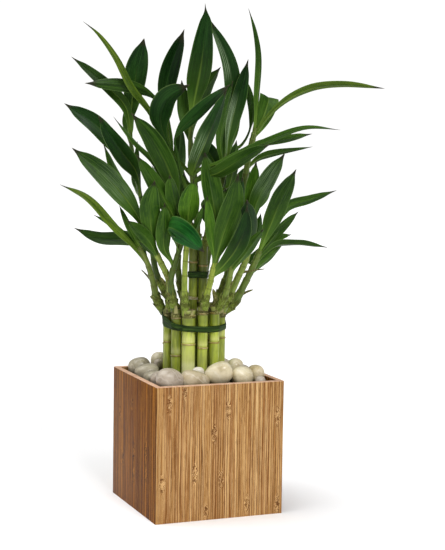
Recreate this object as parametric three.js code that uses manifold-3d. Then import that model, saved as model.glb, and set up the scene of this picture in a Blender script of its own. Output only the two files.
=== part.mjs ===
// Lucky bamboo: a tied bundle of cut canes with leafy shoots, standing in pebbles in a square bamboo planter.
// Millimetres, +Z up. The origin is the middle of the planter's underside. The front panel looks along -Y.
import * as THREE from "three";
import { mergeVertices } from "three/addons/utils/BufferGeometryUtils.js";
import Module from "manifold-3d";

const wasm = await Module();
wasm.setup();

// Planter
const PLANTER_SIDE = 120;
const PANEL_THICK = 5;
const BASE_THICK = 6;
const CONTACT_GAP = 0.3;

// Liner, a thin tray that holds the water
const LINER_WALL = 1.2;
const LINER_TOP = 115;
const LINER_TAPER = 1.5;

// Bed of gravel and water, heaped towards the bundle
const BED_EDGE_Z = 111;
const BED_HEAP = 16;
const BED_HEAP_FULLNESS = 0.7;
const BED_GRID = 5;

// Bundle of canes
const BUNDLE_ACROSS = -2.7;
const BUNDLE_RADIUS = 28.6;
const INNER_RING = 5.2;
const INNER_BEHIND = -3;
const INNER_RADIUS = 4;
const CANE_FOOT_Z = 20;
const CANE_SIDES = 10;
const NODE_RISE = 0.6;
const NODE_BELOW = 2;
const NODE_ABOVE = 1.2;

// Ties
const TIE_HEIGHT = 6.2;
const TIE_THICK = 1;
const LOWER_TIE_Z = 166;
const LOWER_TIE_LEAN = 2.5;
const UPPER_TIE_Z = 211;
const TIE_SIDES = 28;

// Leaves and stems
const BLADE_THICK = 0.6;
const BLADE_FOLD = 16;
const BLADE_NECK = 0.12;
const BLADE_PEAK = 0.8;
const BLADE_FULLNESS = 0.85;
const SHEATH_WIDE = 4.5;
const SHEATH_RUN = 1.5;
const ROOT_SINK = 0.97;
const ROOT_HUG = 0.6;
const END_ON = 0.75;
const STEM_SIDES = 6;
const STEM_STEPS = 6;

// The plant is turned on the planter: "across" and "behind" below run along and away from its front view.
const PLANT_TURN = -22.28;

// A leaf's place is read in the front view: across and up in the plane of the bundle's axis, and how far
// behind that plane it lies.
const FRONT_VIEW = { across: 22, up: 331, away: 1265 };

const CANE_GREEN = { color: 0x9aa63a, roughness: 0.45 };
const INNER_CANE_GREEN = { color: 0x6b6f33, roughness: 0.5 };
const LEAF_GREEN = { color: 0x2c4a1c, roughness: 0.4 };
const TIE_GREEN = { color: 0x1f3320, roughness: 0.6 };
const BAMBOO_TAN = { color: 0xb28852, roughness: 0.55 };
const LINER_BLACK = { color: 0x15130f, roughness: 0.5 };
const GRAVEL_GREY = { color: 0x6f6a5e, roughness: 0.9 };
const PEBBLE_GREY = { color: 0xb9ae9c, roughness: 0.55 };

// Outer canes, clockwise from the right of the front view: angle round the bundle, radius, top, node heights
const OUTER_CANES = [
  { angle: -12, radius: 4.5, top: 180, nodes: [154, 176] },
  { angle: -41, radius: 4.6, top: 184, nodes: [151, 178] },
  { angle: -71, radius: 4.6, top: 184, nodes: [147, 178] },
  { angle: -102, radius: 6.0, top: 181, nodes: [150, 176] },
  { angle: -131, radius: 4.7, top: 181, nodes: [139, 173] },
  { angle: -162, radius: 4.2, top: 180, nodes: [150, 174] },
  { angle: 175, radius: 4.5, top: 178, nodes: [147, 174] },
  { angle: 143, radius: 4.8, top: 182, nodes: [144, 176] },
  { angle: 111, radius: 5.0, top: 184, nodes: [152, 178] },
  { angle: 79, radius: 4.7, top: 182, nodes: [142, 176] },
  { angle: 47, radius: 5.0, top: 183, nodes: [149, 177] },
  { angle: 17, radius: 4.6, top: 180, nodes: [156, 174] },
];
const INNER_CANES = [
  { angle: -150, radius: INNER_RADIUS, top: 238, nodes: [190, 222] },
  { angle: -30, radius: INNER_RADIUS, top: 237, nodes: [187.5, 219] },
  { angle: 90, radius: INNER_RADIUS, top: 240, nodes: [186, 224] },
];

// Shoots: the stem's path from inside its cane, its radius at the foot and the tip, and the leaves up it.
// A leaf has its place on the stem (0 to 1), the points it passes through to its tip, its width, and its turn
// from face-on in the front view. Each point is across, up, behind.
const SHOOTS = {
  outer_01: {
    path: [[22, 178, -5], [30, 194, -9], [36, 208, -11], [43, 224, -13], [47, 242, -14]],
    thick: [3.8, 2.4],
    leaves: [
      { at: 0.68, through: [[44, 250, -20], [40, 276, -23]], wide: 15.5, turn: 10 },
      { at: 0.78, through: [[53, 250, -15], [56, 267, -15]], wide: 7.5, turn: 20 },
      { at: 0.88, through: [[51, 274, -19], [62, 297, -20], [76, 321, -22]], wide: 16.5, turn: 20 },
      { at: 1.0, through: [[47, 283, -8], [51, 314, -4]], wide: 10.5, turn: 15 },
    ],
  },
  outer_02: {
    path: [[16, 176, -16], [22, 187, -20], [26, 201, -22], [29, 217, -23], [34, 233, -23]],
    thick: [3.8, 2.4],
    leaves: [
      { at: 0.62, through: [[43, 231, -36], [59, 253, -52]], wide: 9.5, turn: 20 },
      { at: 0.74, through: [[37, 243, -32], [41, 268, -44]], wide: 10.5, turn: 20 },
      { at: 0.88, through: [[27, 258, -21], [23, 290, -20]], wide: 11.5, turn: 30 },
      { at: 1.0, through: [[36, 265, -30], [39, 300, -36]], wide: 10.5, turn: 30 },
    ],
  },
  outer_03: {
    path: [[5, 175, -23], [7, 189, -27], [11, 202, -28], [14, 216, -29], [19, 233, -30]],
    thick: [3.4, 2.6],
    leaves: [
      { at: 0.62, through: [[22, 246, -42], [31, 274, -54], [35, 302, -62]], wide: 20.5, turn: 5 },
      { at: 0.74, through: [[11, 250, -42], [7, 282, -50]], wide: 8.5, turn: 10 },
      { at: 0.86, through: [[16, 255, -46], [16, 282, -56]], wide: 7.5, turn: 10 },
      { at: 1.0, through: [[21, 265, -36], [13, 296, -40]], wide: 13.5, turn: 20 },
    ],
  },
  outer_04: {
    path: [[-11, 173, -24], [-13, 191, -28], [-13, 214, -30], [-12, 234, -31], [-11, 250, -31]],
    thick: [3.4, 3],
    leaves: [
      { at: 0.8, through: [[-1, 256, -42], [4, 274, -50]], wide: 5.5, turn: 30 },
      { at: 1.0, through: [[-9, 270, -38], [-5, 296, -44]], wide: 16.5, turn: 8 },
    ],
  },
  outer_05: {
    path: [[-20, 174, -18], [-22, 191, -21], [-23, 214, -22], [-19, 240, -23], [-17, 259, -22]],
    thick: [3.6, 2.6],
    leaves: [
      { at: 0.55, through: [[-30, 243, -34], [-38, 258, -44]], wide: 10.5, turn: 10 },
      { at: 0.66, through: [[-23, 254, -44], [-10, 245, -60], [6, 230, -70]], wide: 20.5, turn: 10 },
      { at: 0.8, through: [[-35, 284, -36], [-57, 318, -44]], wide: 16.5, turn: 15 },
      { at: 0.88, through: [[-23, 280, -32], [-27, 300, -48]], wide: 12.5, turn: 25 },
      { at: 0.95, through: [[-45, 317, -14], [-79, 350, -10]], wide: 5.5, turn: 30 },
      { at: 1.0, through: [[-26, 295, -27], [-43, 329, -36], [-62, 354, -44]], wide: 16.5, turn: 10 },
    ],
  },
  outer_06: {
    path: [[-26, 175, -8], [-25, 190, -12], [-27, 206, -14], [-35, 223, -17], [-44, 241, -20]],
    thick: [3.8, 2.8],
    leaves: [
      { at: 0.58, through: [[-50, 238, 2], [-66, 241, 6], [-89, 242, 8], [-112, 250, 10]],
        wide: 10.5, turn: 20 },
      { at: 0.7, through: [[-47, 243, -32], [-65, 259, -42]], wide: 10.5, turn: 10 },
      { at: 0.82, through: [[-44, 268, -40], [-40, 295, -50]], wide: 17.5, turn: 5 },
      { at: 0.92, through: [[-69, 287, -8], [-86, 323, -6]], wide: 9.5, turn: 30 },
      { at: 1.0, through: [[-62, 270, -24], [-86, 295, -28], [-115, 323, -30]], wide: 18.5, turn: 10 },
    ],
  },
  outer_07: {
    path: [[-30, 175, 2], [-38, 185, 0], [-42, 202, -6], [-47, 221, -13], [-54, 235, -20]],
    thick: [4, 2.6],
    leaves: [
      { at: 0.6, through: [[-58, 226, 10], [-84, 240, 44]], wide: 10.5, turn: 20 },
      { at: 0.72, through: [[-78, 257, -32], [-100, 279, -38], [-126, 289, -40]], wide: 7.5, turn: 25 },
      { at: 0.86, through: [[-76, 252, -20], [-95, 263, -18]], wide: 5.5, turn: 40 },
      { at: 1.0, through: [[-63, 252, -20], [-72, 272, -18]], wide: 4.5, turn: 20 },
    ],
  },
  outer_08: {
    path: [[-21, 179, 15], [-33, 209, 20], [-44, 245, 24], [-53, 281, 22], [-61, 322, 15], [-63, 341, 12]],
    thick: [3.2, 1.8],
    leaves: [
      { at: 1.0, through: [[-56, 386, 10], [-51, 421, 6]], wide: 17.5, turn: 10, neck: 0.1 },
      { at: 0.96, through: [[-79, 369, 2], [-94, 387, 0], [-115, 404, -2]], wide: 10.5, turn: 15 },
      { at: 0.75, through: [[-67, 318, 20], [-91, 343, 18], [-122, 362, 14]], wide: 18.5, turn: 15 },
      { at: 0.65, through: [[-60, 297, 4], [-76, 326, -4], [-92, 350, -6]], wide: 18.5, turn: 20 },
      { at: 0.6, through: [[-64, 286, 55], [-72, 321, 85]], wide: 13.5, turn: 50 },
      { at: 0.4, through: [[-53, 254, 60], [-60, 277, 95]], wide: 12.5, turn: 50 },
      { at: 0.9, through: [[-65, 344, 45], [-60, 373, 75]], wide: 10.5, turn: 20 },
      { at: 0.5, through: [[-47, 264, 32], [-40, 298, 40]], wide: 12.5, turn: 30 },
    ],
  },
  outer_09: {
    path: [[-11, 179, 23], [-14, 214, 28], [-17, 255, 30], [-21, 291, 28], [-27, 322, 24]],
    thick: [3.2, 2.0],
    leaves: [
      { at: 1.0, through: [[-45, 356, 8], [-62, 378, -6], [-76, 404, -12], [-92, 423, -14], [-107, 435, -14]],
        wide: 7.5, turn: 20 },
      { at: 0.95, through: [[-45, 372, 28], [-70, 380, 26], [-104, 381, 22]], wide: 9.5, turn: 35 },
      { at: 0.85, through: [[-38, 335, 30], [-49, 359, 34]], wide: 9.5, turn: 30 },
      { at: 0.8, through: [[-25, 358, 60], [-28, 400, 80]], wide: 14.5, turn: 60 },
      { at: 0.7, through: [[-9, 331, 65], [-1, 380, 95]], wide: 14.5, turn: 30 },
      { at: 0.55, through: [[-31, 286, 60], [-43, 308, 100]], wide: 13.5, turn: 50 },
      { at: 0.45, through: [[-19, 264, 65], [-24, 264, 115]], wide: 13.5, turn: 40 },
      { at: 0.35, through: [[-12, 260, 40], [-14, 304, 54]], wide: 13.5, turn: 20 },
    ],
  },
  outer_10: {
    path: [[2, 179, 24], [7, 215, 28], [14, 255, 28], [20, 291, 24], [25, 323, 18]],
    thick: [3.2, 2.0],
    leaves: [
      { at: 0.9, through: [[45, 323, 20], [83, 334, 22], [101, 339, 22]], wide: 7.5, turn: 25, peak: 1.6 },
      { at: 1.0, through: [[45, 357, 22], [40, 385, 24]], wide: 8.5, turn: 30 },
      { at: 0.9, through: [[29, 350, 40], [33, 381, 60]], wide: 13.5, turn: 20 },
      { at: 0.75, through: [[14, 314, 60], [19, 358, 85]], wide: 14.5, turn: 40 },
      { at: 0.6, through: [[32, 287, 70], [45, 310, 110]], wide: 13.5, turn: 40 },
      { at: 0.5, through: [[5, 269, 70], [23, 283, 115]], wide: 12.5, turn: 40 },
      { at: 0.4, through: [[20, 264, 38], [30, 302, 50]], wide: 13.5, turn: 20 },
    ],
  },
  outer_11: {
    path: [[14, 178, 18], [25, 206, 22], [34, 242, 22], [39, 283, 18], [45, 323, 10], [50, 343, 5]],
    thick: [3.2, 3.0],
    leaves: [
      { at: 1.0, through: [[48, 372, 4], [50, 412, 2], [42, 448, -2]], wide: 7.5, turn: 35, neck: 0.05 },
      { at: 0.97, through: [[57, 354, 8], [61, 370, 20], [55, 364, 48]], wide: 16.5, turn: 10, neck: 0.05 },
      { at: 0.93, through: [[67, 361, -6], [98, 381, -12], [129, 383, -12], [164, 380, -10]],
        wide: 7.5, turn: 30, peak: 1.0 },
      { at: 0.78, through: [[56, 319, 14], [101, 330, 16]], wide: 7.5, turn: 35, peak: 0.6 },
      { at: 0.6, through: [[50, 274, 50], [65, 297, 85]], wide: 12.5, turn: 40 },
      { at: 0.45, through: [[57, 247, 60], [76, 274, 95]], wide: 12.5, turn: 40 },
      { at: 0.3, through: [[47, 222, 55], [69, 243, 90]], wide: 11.5, turn: 40 },
      { at: 0.5, through: [[41, 270, 36], [48, 308, 46]], wide: 13.5, turn: 25 },
    ],
  },
  outer_12: {
    path: [[22, 176, 7], [37, 186, 4], [45, 201, 2], [52, 217, 0], [57, 233, -2]],
    thick: [4.2, 2.6],
    leaves: [
      { at: 0.6, through: [[65, 228, 8], [77, 240, 12]], wide: 7.5, turn: 30 },
      { at: 0.7, through: [[69, 238, 2], [92, 242, 4], [117, 237, 6]], wide: 7.5, turn: 45 },
      { at: 0.78, through: [[69, 243, 18], [84, 248, 30]], wide: 6.5, turn: 20 },
      { at: 0.86, through: [[73, 252, 10], [90, 269, 16]], wide: 8.5, turn: 20 },
      { at: 0.93, through: [[78, 272, 10], [100, 281, 12], [124, 289, 14]], wide: 8.5, turn: 25 },
      { at: 1.0, through: [[66, 256, -6], [74, 279, -10], [87, 307, -14]], wide: 18.5, turn: 15, neck: 0.05 },
    ],
  },
  inner_01: {
    path: [[-5, 232, -5], [-8, 258, -9], [-6, 288, -8], [-9, 322, -4], [-8, 351, 0]],
    thick: [2.8, 1.6],
    leaves: [
      { at: 1.0, through: [[0, 397, -2], [3, 453, -6]], wide: 18.5, turn: 10, neck: 0.05 },
      { at: 0.55, through: [[4, 332, -30], [23, 377, -42]], wide: 17.5, turn: 35 },
      { at: 0.6, through: [[-17, 318, -24], [-23, 337, -34], [0, 359, -36], [26, 385, -30]],
        wide: 12.5, turn: 15 },
      { at: 0.5, through: [[18, 303, -28], [42, 318, -33], [64, 329, -34]],
        wide: 12.5, turn: 10, neck: 0.05 },
      { at: 0.56, through: [[20, 312, -28], [62, 332, -33], [94, 346, -33], [126, 342, -30]],
        wide: 5, turn: 20, peak: 0.9 },
      { at: 0.2, through: [[-11, 266, -14], [-15, 288, -13]], wide: 9.5, turn: 40 },
    ],
  },
  inner_02: {
    path: [[4, 231, -5], [8, 246, -8], [13, 269, -10], [20, 291, -12], [24, 309, -10]],
    thick: [2.8, 2.0],
    leaves: [
      { at: 0.84, through: [[11, 314, -8], [-5, 336, -2]], wide: 11.5, turn: 20 },
      { at: 1.0, through: [[26, 336, -6], [35, 375, 0], [45, 407, 4]], wide: 14.5, turn: 20 },
      { at: 0.9, through: [[18, 332, -20], [29, 385, -26]], wide: 8.5, turn: 45 },
      { at: 0.95, through: [[28, 350, 4], [24, 396, 8], [6, 440, 4]], wide: 16.5, turn: 25 },
      { at: 0.3, through: [[6, 262, -22], [4, 274, -30]], wide: 4.5, turn: 40 },
      { at: 0.45, through: [[17, 272, 2], [28, 304, 8]], wide: 10.5, turn: 30 },
      { at: 0.7, through: [[27, 292, -17], [33, 332, -14]], wide: 12.5, turn: 35 },
    ],
  },
  inner_03: {
    path: [[0, 233, 2], [-2, 255, 6], [-5, 287, 10], [-9, 313, 12], [-12, 331, 12]],
    thick: [2.8, 1.8],
    leaves: [
      { at: 1.0, through: [[-6, 354, 14], [4, 383, 14], [16, 397, 10]], wide: 11.5, turn: 25 },
      { at: 0.9, through: [[-30, 362, 20], [-27, 397, 22], [-15, 430, 16]],
        wide: 17.5, turn: 15, neck: 0.25 },
      { at: 0.8, through: [[-30, 340, -2], [-32, 365, -12], [-11, 379, -16]], wide: 23.5, turn: 10 },
      { at: 0.92, through: [[-17, 347, 8], [-15, 374, 10]], wide: 11.5, turn: 10 },
    ],
  },
};

// Pebbles on the bed: where each lies, its half sizes, its turn and tip in degrees, and how much fuller its
// right end is than its left one
const PEBBLES = [
  { at: [-42, -43, 123], half: [12.4, 8.8, 10], turn: -8, tip: 4, taper: -0.1, detail: 2 },
  { at: [-17, -43, 121.8], half: [12.4, 8.8, 9.4], turn: 4, tip: 12, taper: -0.2, detail: 2 },
  { at: [6.5, -38.8, 125.6], half: [11.8, 9, 9.8], turn: -14, tip: -16, taper: 0.22, detail: 2 },
  { at: [28, -41.6, 122.8], half: [9.6, 8.8, 9.6], turn: 12, tip: 6 },
  { at: [44.5, -32, 122.3], half: [7.4, 8.4, 8.8], turn: 10, tip: 0 },
  { at: [42.5, -46.8, 116.8], half: [5.2, 4.4, 6.4], turn: -10, tip: 0 },
  { at: [28, -23.5, 128], half: [7.4, 7, 8], turn: 30, tip: 8 },
  { at: [-45.5, -24.5, 120], half: [7.4, 8.6, 8], turn: -12, tip: -6 },
  { at: [-43.5, -3.5, 118.5], half: [9, 10.4, 7], turn: -14, tip: -8 },
  { at: [-41, 20, 120], half: [11.4, 10, 7.6], turn: -14, tip: -8 },
  { at: [-21, 42.5, 125.4], half: [8.2, 8, 9.2], turn: 10, tip: 0 },
  { at: [-27.2, 27, 125.6], half: [4.6, 4.4, 5], turn: 12, tip: 0 },
  { at: [-40.6, 42.5, 121.4], half: [11, 9.2, 8.8], turn: -10, tip: -10 },
  { at: [-1, 43, 121.5], half: [10.4, 8.8, 8.8], turn: -12, tip: -5 },
  { at: [20, 43, 119.5], half: [9.6, 8.6, 8], turn: 10, tip: 4 },
  { at: [41, 42.5, 118], half: [9.4, 9.2, 8.5], turn: 35, tip: 0 },
  { at: [43, 20.5, 118.5], half: [8.4, 10.4, 8.5], turn: -6, tip: 4 },
  { at: [42.5, -4, 118.5], half: [8.8, 11, 8.5], turn: 5, tip: -6 },
  { at: [29, 28, 123.5], half: [6, 6.2, 6], turn: 25, tip: 0 },
  { at: [-11, -32, 126.4], half: [5.6, 3, 4.8], turn: -14, tip: 0 },
];
const PEBBLE_DETAIL = 1;
const HOLLOW_GROW = 0.5;
const PEBBLE_SQUARENESS = 0.86;

const UP = new THREE.Vector3(0, 0, 1);
const AWAY = new THREE.Vector3(0, 1, 0);
const radians = THREE.MathUtils.degToRad;

const model = new THREE.Group();
const plant = new THREE.Group();
plant.rotation.z = radians(PLANT_TURN);
model.add(plant);

// A closed solid from a geometry, for joining and cutting
function solidOf(geometry) {
  const bare = geometry.index ? geometry.clone() : mergeVertices(geometry);
  bare.deleteAttribute("normal");
  bare.deleteAttribute("uv");
  const merged = mergeVertices(bare, 1e-4);
  const mesh = new wasm.Mesh({
    numProp: 3,
    vertProperties: new Float32Array(merged.attributes.position.array),
    triVerts: new Uint32Array(merged.index.array),
  });
  return new wasm.Manifold(mesh);
}

// The largest body of a solid: a cut can leave loose scraps, which are dropped
function largestBody(solid) {
  const bodies = solid.decompose();
  return bodies.reduce((best, body) => (body.volume() > best.volume() ? body : best));
}

function geometryOf(solid) {
  const mesh = solid.getMesh();
  const geometry = new THREE.BufferGeometry();
  geometry.setAttribute("position", new THREE.BufferAttribute(mesh.vertProperties, mesh.numProp));
  geometry.setIndex(new THREE.BufferAttribute(mesh.triVerts, 1));
  geometry.computeVertexNormals();
  return geometry;
}

function addMesh(group, name, geometry, finish) {
  const mesh = new THREE.Mesh(geometry, new THREE.MeshStandardMaterial({ ...finish, metalness: 0 }));
  mesh.name = name;
  group.add(mesh);
  return mesh;
}

// A closed skin over a row of rings with the same number of points, closed by a fan or a point at each end
function loft(rings, hub, apex) {
  const count = rings[0].length;
  const points = rings.flat();
  const faces = [];
  for (let i = 0; i + 1 < rings.length; i += 1) {
    for (let k = 0; k < count; k += 1) {
      const a = i * count + k;
      const b = i * count + ((k + 1) % count);
      const c = a + count;
      const d = b + count;
      const mirrored = k >= count / 2;
      faces.push(...(mirrored ? [a, b, c, b, d, c] : [a, b, d, a, d, c]));
    }
  }
  for (let k = 1; k + 1 < count; k += 1) {
    faces.push(hub, (hub + k + 1) % count, (hub + k) % count);
  }
  const last = (rings.length - 1) * count;
  if (apex) {
    points.push(apex);
    for (let k = 0; k < count; k += 1) {
      faces.push(last + k, last + ((k + 1) % count), points.length - 1);
    }
  } else {
    for (let k = 1; k + 1 < count; k += 1) {
      faces.push(last + hub, last + ((hub + k) % count), last + ((hub + k + 1) % count));
    }
  }
  const geometry = new THREE.BufferGeometry().setFromPoints(points);
  geometry.setIndex(faces);
  return geometry;
}

// A smooth curve through points that leaves the first in a given direction; at(s) runs from 0 to 1
function smoothCurve(points, start) {
  const spans = points.slice(1).map((point, i) => point.distanceTo(points[i]));
  const slopes = points.map((point, i) => {
    if (i === 0) {
      return start.clone();
    }
    const from = points[i - 1];
    const to = points[Math.min(i + 1, points.length - 1)];
    const span = spans[i - 1] + (i + 1 < points.length ? spans[i] : 0);
    return to.clone().sub(from).divideScalar(span);
  });
  const total = spans.reduce((sum, span) => sum + span, 0);
  const at = (s) => {
    let rest = s * total;
    let i = 0;
    while (i + 1 < spans.length && rest > spans[i]) {
      rest -= spans[i];
      i += 1;
    }
    const h = spans[i];
    const u = rest / h;
    return new THREE.Vector3()
      .addScaledVector(points[i], 2 * u ** 3 - 3 * u ** 2 + 1)
      .addScaledVector(slopes[i], (u ** 3 - 2 * u ** 2 + u) * h)
      .addScaledVector(points[i + 1], 3 * u ** 2 - 2 * u ** 3)
      .addScaledVector(slopes[i + 1], (u ** 3 - u ** 2) * h);
  };
  const heading = (s) => at(Math.min(s + 0.01, 1)).sub(at(Math.max(s - 0.01, 0))).normalize();
  return { at, heading };
}

// A place seen in the front view, moved along its line of sight to its own depth
function spot([across, up, behind]) {
  const scale = 1 + behind / FRONT_VIEW.away;
  return new THREE.Vector3(
    FRONT_VIEW.across + (across - FRONT_VIEW.across) * scale,
    behind,
    FRONT_VIEW.up + (up - FRONT_VIEW.up) * scale,
  );
}

function stemCurve(shoot) {
  const points = shoot.path.map(spot);
  return smoothCurve(points, points[1].clone().sub(points[0]).normalize());
}

// One side direction for each station, carried along the curve without twisting, from the one at the middle
function carriedSides(curve, stations, middle, side) {
  const sides = [];
  sides[middle] = side;
  const carry = (from, to) => {
    const heading = curve.heading(stations[to]);
    sides[to] = sides[from].clone().addScaledVector(heading, -sides[from].dot(heading)).normalize();
  };
  for (let i = middle + 1; i < stations.length; i += 1) {
    carry(i - 1, i);
  }
  for (let i = middle - 1; i >= 0; i -= 1) {
    carry(i + 1, i);
  }
  return sides;
}

function stemSolid(curve, [footRadius, tipRadius]) {
  const stations = Array.from({ length: STEM_STEPS }, (_, i) => i / (STEM_STEPS - 1));
  const firstSide = new THREE.Vector3().crossVectors(curve.heading(0), AWAY).normalize();
  const sides = carriedSides(curve, stations, 0, firstSide);
  const rings = stations.map((s, i) => {
    const radius = footRadius + (tipRadius - footRadius) * s;
    const other = new THREE.Vector3().crossVectors(curve.heading(s), sides[i]);
    return Array.from({ length: STEM_SIDES }, (_, k) => {
      const angle = (k / STEM_SIDES) * 2 * Math.PI;
      return curve.at(s)
        .addScaledVector(sides[i], radius * Math.cos(angle))
        .addScaledVector(other, radius * Math.sin(angle));
    });
  });
  return solidOf(loft(rings, 0));
}

// Width of a blade along its length: a clasping sheath at the foot, then a lance shape with a fine tip
function bladeWidth(s, leaf) {
  const neck = leaf.neck ?? BLADE_NECK;
  const u = Math.max(0, (s - neck) / (1 - neck));
  const lance = Math.sin(Math.PI * u ** (leaf.peak ?? BLADE_PEAK)) ** BLADE_FULLNESS;
  return SHEATH_WIDE * (1 - s) ** SHEATH_RUN + leaf.wide * lance;
}

// A leaf: a thin blade folded to a shallow V along its midrib
function leafSolid(stem, leaf) {
  const root = stem.at(leaf.at * ROOT_SINK);
  const points = [root, ...leaf.through.map(spot)];
  const outward = points[1].clone().sub(root).normalize();
  const start = stem.heading(leaf.at * ROOT_SINK).lerp(outward, 1 - ROOT_HUG).normalize();
  const curve = smoothCurve(points, start);
  const steps = Math.min(leaf.through.length * 2, 4) + leaf.through.length - 1;
  const stations = Array.from({ length: steps }, (_, i) => i / steps);
  const middle = Math.floor(steps / 2);
  const heading = curve.heading(stations[middle]);
  const faceOn = Math.abs(heading.dot(AWAY)) < END_ON ? AWAY : UP;
  const side = new THREE.Vector3().crossVectors(heading, faceOn).normalize();
  side.applyAxisAngle(heading, radians(leaf.turn));
  const sides = carriedSides(curve, stations, middle, side);
  const upper = new THREE.Vector3().crossVectors(heading, sides[middle]);
  const hand = upper.z < 0 ? -1 : 1;
  const fold = radians(BLADE_FOLD);
  const rings = stations.map((s, i) => {
    const normal = new THREE.Vector3().crossVectors(curve.heading(s), sides[i]).multiplyScalar(hand);
    const half = bladeWidth(s, leaf) / 2;
    const place = (across, lift) => curve.at(s)
      .addScaledVector(sides[i], hand * across * half * Math.cos(fold))
      .addScaledVector(normal, Math.abs(across) * half * Math.sin(fold) + lift);
    const t = BLADE_THICK / 2;
    return [place(-1, -t), place(0, -t), place(1, -t), place(1, t), place(0, t), place(-1, t)];
  });
  return solidOf(loft(rings, 1, curve.at(1)));
}

function ring(points, segments) {
  const profile = points.map(([r, z]) => new THREE.Vector2(r, z));
  return new THREE.LatheGeometry(profile, segments).rotateX(Math.PI / 2);
}

// Planter: four walls mitred at the corners, a base let in between them, and the liner
function addPlanter() {
  const half = PLANTER_SIDE / 2;
  const inner = half - PANEL_THICK;
  const outline = new THREE.Shape([
    new THREE.Vector2(-half, -half),
    new THREE.Vector2(half, -half),
    new THREE.Vector2(inner, -inner),
    new THREE.Vector2(-inner, -inner),
  ]);
  ["front", "right", "back", "left"].forEach((side, i) => {
    const wall = new THREE.ExtrudeGeometry(outline, { depth: PLANTER_SIDE, bevelEnabled: false });
    const panel = addMesh(model, `planter_panel_${side}`, wall, BAMBOO_TAN);
    panel.rotation.z = i * (Math.PI / 2);
  });
  const base = new THREE.BoxGeometry(2 * inner, 2 * inner, BASE_THICK).translate(0, 0, BASE_THICK / 2);
  addMesh(model, "planter_base", base, BAMBOO_TAN);
}

function tray(halfTop, halfFoot, low, high) {
  const square = [[-1, -1], [1, -1], [1, 1], [-1, 1]];
  const corners = (half, z) => square.map(([x, y]) => new THREE.Vector3(x * half, y * half, z));
  return loft([corners(halfFoot, low), corners(halfTop, high)], 0);
}

const linerHalf = PLANTER_SIDE / 2 - PANEL_THICK - CONTACT_GAP;
const linerFoot = BASE_THICK;
const bedFoot = linerFoot + LINER_WALL + CONTACT_GAP;
const linerSlope = LINER_TAPER / (LINER_TOP - linerFoot);

function addLiner() {
  const outside = solidOf(tray(linerHalf, linerHalf - LINER_TAPER, linerFoot, LINER_TOP));
  const past = LINER_TOP + LINER_WALL;
  const insideTop = linerHalf - LINER_WALL + (past - LINER_TOP) * linerSlope;
  const insideFoot = linerHalf - LINER_WALL - (LINER_TOP - linerFoot - LINER_WALL) * linerSlope;
  const inside = solidOf(tray(insideTop, insideFoot, linerFoot + LINER_WALL, past));
  addMesh(model, "liner", geometryOf(outside.subtract(inside)), LINER_BLACK);
}

function pebbleGeometry(pebble, grow) {
  const geometry = new THREE.IcosahedronGeometry(1, pebble.detail ?? PEBBLE_DETAIL);
  const points = geometry.attributes.position;
  for (let i = 0; i < points.count; i += 1) {
    const fuller = 1 + (pebble.taper ?? 0) * points.getX(i);
    const [x, y, z] = [points.getX(i), points.getY(i), points.getZ(i)]
      .map((value, k) => Math.sign(value) * Math.abs(value) ** PEBBLE_SQUARENESS * (pebble.half[k] + grow));
    points.setXYZ(i, x, y * fuller, z * fuller);
  }
  geometry.rotateY(radians(pebble.tip));
  geometry.rotateZ(radians(pebble.turn));
  return geometry.translate(...pebble.at);
}

function addPebbles() {
  PEBBLES.forEach((pebble, i) => {
    addMesh(model, numbered("pebble", i), geometryOf(solidOf(pebbleGeometry(pebble, 0))), PEBBLE_GREY);
  });
}

// Canes: each has its place in the bundle and a profile that swells at the nodes
function canePlace(cane, isInner) {
  const distance = isInner ? INNER_RING : BUNDLE_RADIUS - cane.radius;
  const angle = radians(cane.angle);
  const middle = isInner ? [0, INNER_BEHIND] : [BUNDLE_ACROSS, 0];
  return [middle[0] + distance * Math.cos(angle), middle[1] + distance * Math.sin(angle)];
}

function caneGeometry(cane, [x, y], grow) {
  const r = cane.radius + grow;
  const profile = [[0, CANE_FOOT_Z - grow], [r, CANE_FOOT_Z - grow]];
  cane.nodes.forEach((z) => {
    profile.push([r, z - NODE_BELOW], [r + NODE_RISE, z], [r, z + NODE_ABOVE]);
  });
  profile.push([r, cane.top + grow], [0, cane.top + grow]);
  return ring(profile, CANE_SIDES).translate(x, y, 0);
}

const numbered = (name, i) => `${name}_${String(i + 1).padStart(2, "0")}`;
const CANES = [
  ...OUTER_CANES.map((cane, i) => ({ ...cane, name: numbered("outer", i), inner: false })),
  ...INNER_CANES.map((cane, i) => ({ ...cane, name: numbered("inner", i), inner: true })),
];

function addCanes() {
  for (const cane of CANES) {
    const place = canePlace(cane, cane.inner);
    const finish = cane.inner ? INNER_CANE_GREEN : CANE_GREEN;
    addMesh(plant, `cane_${cane.name}`, geometryOf(solidOf(caneGeometry(cane, place, 0))), finish);
  }
}

function addShoots() {
  for (const cane of CANES) {
    const shoot = SHOOTS[cane.name];
    const stem = stemCurve(shoot);
    let solid = stemSolid(stem, shoot.thick);
    for (const leaf of shoot.leaves) {
      solid = solid.add(leafSolid(stem, leaf));
    }
    const own = solidOf(caneGeometry(cane, canePlace(cane, cane.inner), CONTACT_GAP));
    addMesh(plant, `shoot_${cane.name}`, geometryOf(largestBody(solid.subtract(own))), LEAF_GREEN);
  }
}

function tieGeometry(radius, segments) {
  const inside = radius + CONTACT_GAP;
  const outside = inside + TIE_THICK;
  const h = TIE_HEIGHT / 2;
  return ring([[inside, -h], [outside, -h], [outside, h], [inside, h], [inside, -h]], segments);
}

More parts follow.
